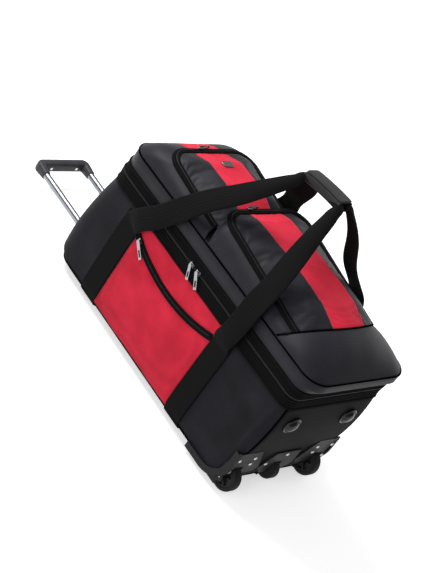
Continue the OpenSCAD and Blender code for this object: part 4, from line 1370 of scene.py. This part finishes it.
# %% Zip coils
for name, shape, z, out, body in (("body_coil", BODY_LINE, 275.4, 2.6, "bag"),
                                  ("lid_coil", (-15, 618, HALF, 45, 23), 277.7, 2.6, "lid")):
    points, ways = spaced(outline(*shape), z)
    order = np.arange(REAR + SIDE_STEPS + 4, ROUND + REAR - 3) % ROUND
    repeated(name, [((points + ways * out)[order], ways[order])], coil_tree, coil_size(2.0, 1.0), body,
             "zip_tape")
u_lines = []
for pocket in POCKETS.values():
    path, ways = zip_ring(pocket, 4.2)
    order = np.arange(REAR + 1, ROUND + WHEEL) % ROUND
    keep = order[path[order, 0] < pocket["zip_x"][1] - 1]
    u_lines.append((path[keep] + (0, 0, 3.0), ways[keep] * 0.4 + (0, 0, 0.9)))
repeated("pocket_coils", u_lines, coil_tree, coil_size(2.8, 1.2), "lid", "zip_tape")
arc_up = np.broadcast_to((0.0, -1.0, 0.0), arc_path.shape)
repeated("front_pocket_coil", [(arc_path[2:-2] + (0, -2.6, 0.6), arc_up[2:-2])], coil_tree,
         coil_size(2.4, 1.4), "bag", "zip_tape")

# %% [markdown]
# Stitches are about 3 mm long in thread 0.5 mm thick. They run 4 mm inside each edge of
# the straps, along the seams of the lid, beside the red panels' zip, and along the edges of the carrying
# handles.

# %% Stitches
strap_lines = []
for node, x in STRAPS:
    for sign in (-1, 1):
        line = strap_line(x, sign)[19:]
        for side_of in (-21, 21):
            strap_lines.append((line + (side_of, sign * 1.5, 0), (0, sign, 0)))
repeated("strap_stitches", strap_lines, stitch_tree, STITCH, "bag", "webbing")
lid_points, lid_ways = spaced(outline(*STRIP_LINE), LID_SEAM_Z - 4.5)
lid_ring = lid_points + lid_ways * 1.6
seam_lines = [(np.concatenate([lid_ring, lid_ring[:1]]), np.concatenate([lid_ways, lid_ways[:1]]))]
seam_lines.append((np.array([cap_seam(y) for y in np.linspace(-118, 118, 60)]) + (5, 0, -0.6), (0.5, 0, 1)))
repeated("lid_stitches", seam_lines, stitch_tree, STITCH, "lid", "nylon_black")
panel_lines = [(arc_path[3:-3] + (0, -0.4, -12), arc_up[3:-3]),
               (arc_path[3:-3] + (0, 0.3, 10.5), arc_up[3:-3])]
panel_lines[0][0][:, 1] -= [pouch(p[0], p[2]) * 0.9 for p in panel_lines[0][0]]
repeated("front_panel_stitches", panel_lines, red_stitch_tree, STITCH, "bag", "nylon_red")
for sign, body in ((-1, "front_carry_handle"), (1, "rear_carry_handle")):
    loop_lines = []
    for leg in (LEG_ONE, LEG_TWO[::-1]):
        line = leg_line(leg, sign)[20:-16]
        ahead = np.gradient(line[:, :3], axis=0)
        across = np.cross(ahead, line[:, 4:])
        across /= np.linalg.norm(across, axis=1)[:, None]
        out = np.cross(across, ahead)
        out /= np.linalg.norm(out, axis=1)[:, None]
        fold = np.sqrt(np.maximum(0, 3 * line[:, 3] * (WEB - line[:, 3]) / 8)) * 0.5
        for edge in (-1, 1):
            reach = 1 - 8 / line[:, 3]
            spot = line[:, :3] + across * (edge * reach * line[:, 3] / 2)[:, None] + \
                out * (fold * (1 - reach ** 2) + WEB_THICK / 2 + 0.1)[:, None]
            loop_lines.append((spot, out))
    repeated(body + "_stitches", loop_lines, stitch_tree, STITCH, body, "webbing")

# %% [markdown]
# ## Feet on the wheel end
# Two domed feet keep the cloth off the ground when the bag stands upright. Each is a
# polished dome in a ring with a rounded rim. It is a profile turned round an axis that
# is square to the leaning wheel end.

# %% Domed feet
FOOT_Y, FOOT_Z = 83, 200
FOOT_PROFILE = smooth([(20.0, 0), (20.2, 2.6), (19.2, 4.4), (17.4, 4.6), (16.2, 3.0), (15.0, 3.4),
                       (13.4, 6.6), (10.2, 9.4), (5.8, 11.0), (0.01, 11.6)], 4)
feet = []
for y in (-FOOT_Y, FOOT_Y):
    centre = np.array((end_x(FOOT_Z) + end_swell(FOOT_Z) - 0.6, y, FOOT_Z))
    axis = np.array((math.cos(LEAN), 0, -math.sin(LEAN)))
    upright = np.array((math.sin(LEAN), 0, math.cos(LEAN)))
    rows = []
    for radius, height in FOOT_PROFILE:
        turn = np.linspace(0, 2 * math.pi, 48, endpoint=False)
        rows.append(centre + axis * height + np.outer(np.cos(turn), upright) * radius
                    + np.outer(np.sin(turn), (0, 1, 0)) * radius)
    feet.append(skin("foot", rows, foot_plastic, closed_columns=True, inside=centre, sharp=60))
give(joined("domed_feet", feet), "bag", "guard_plastic", "end_feet")
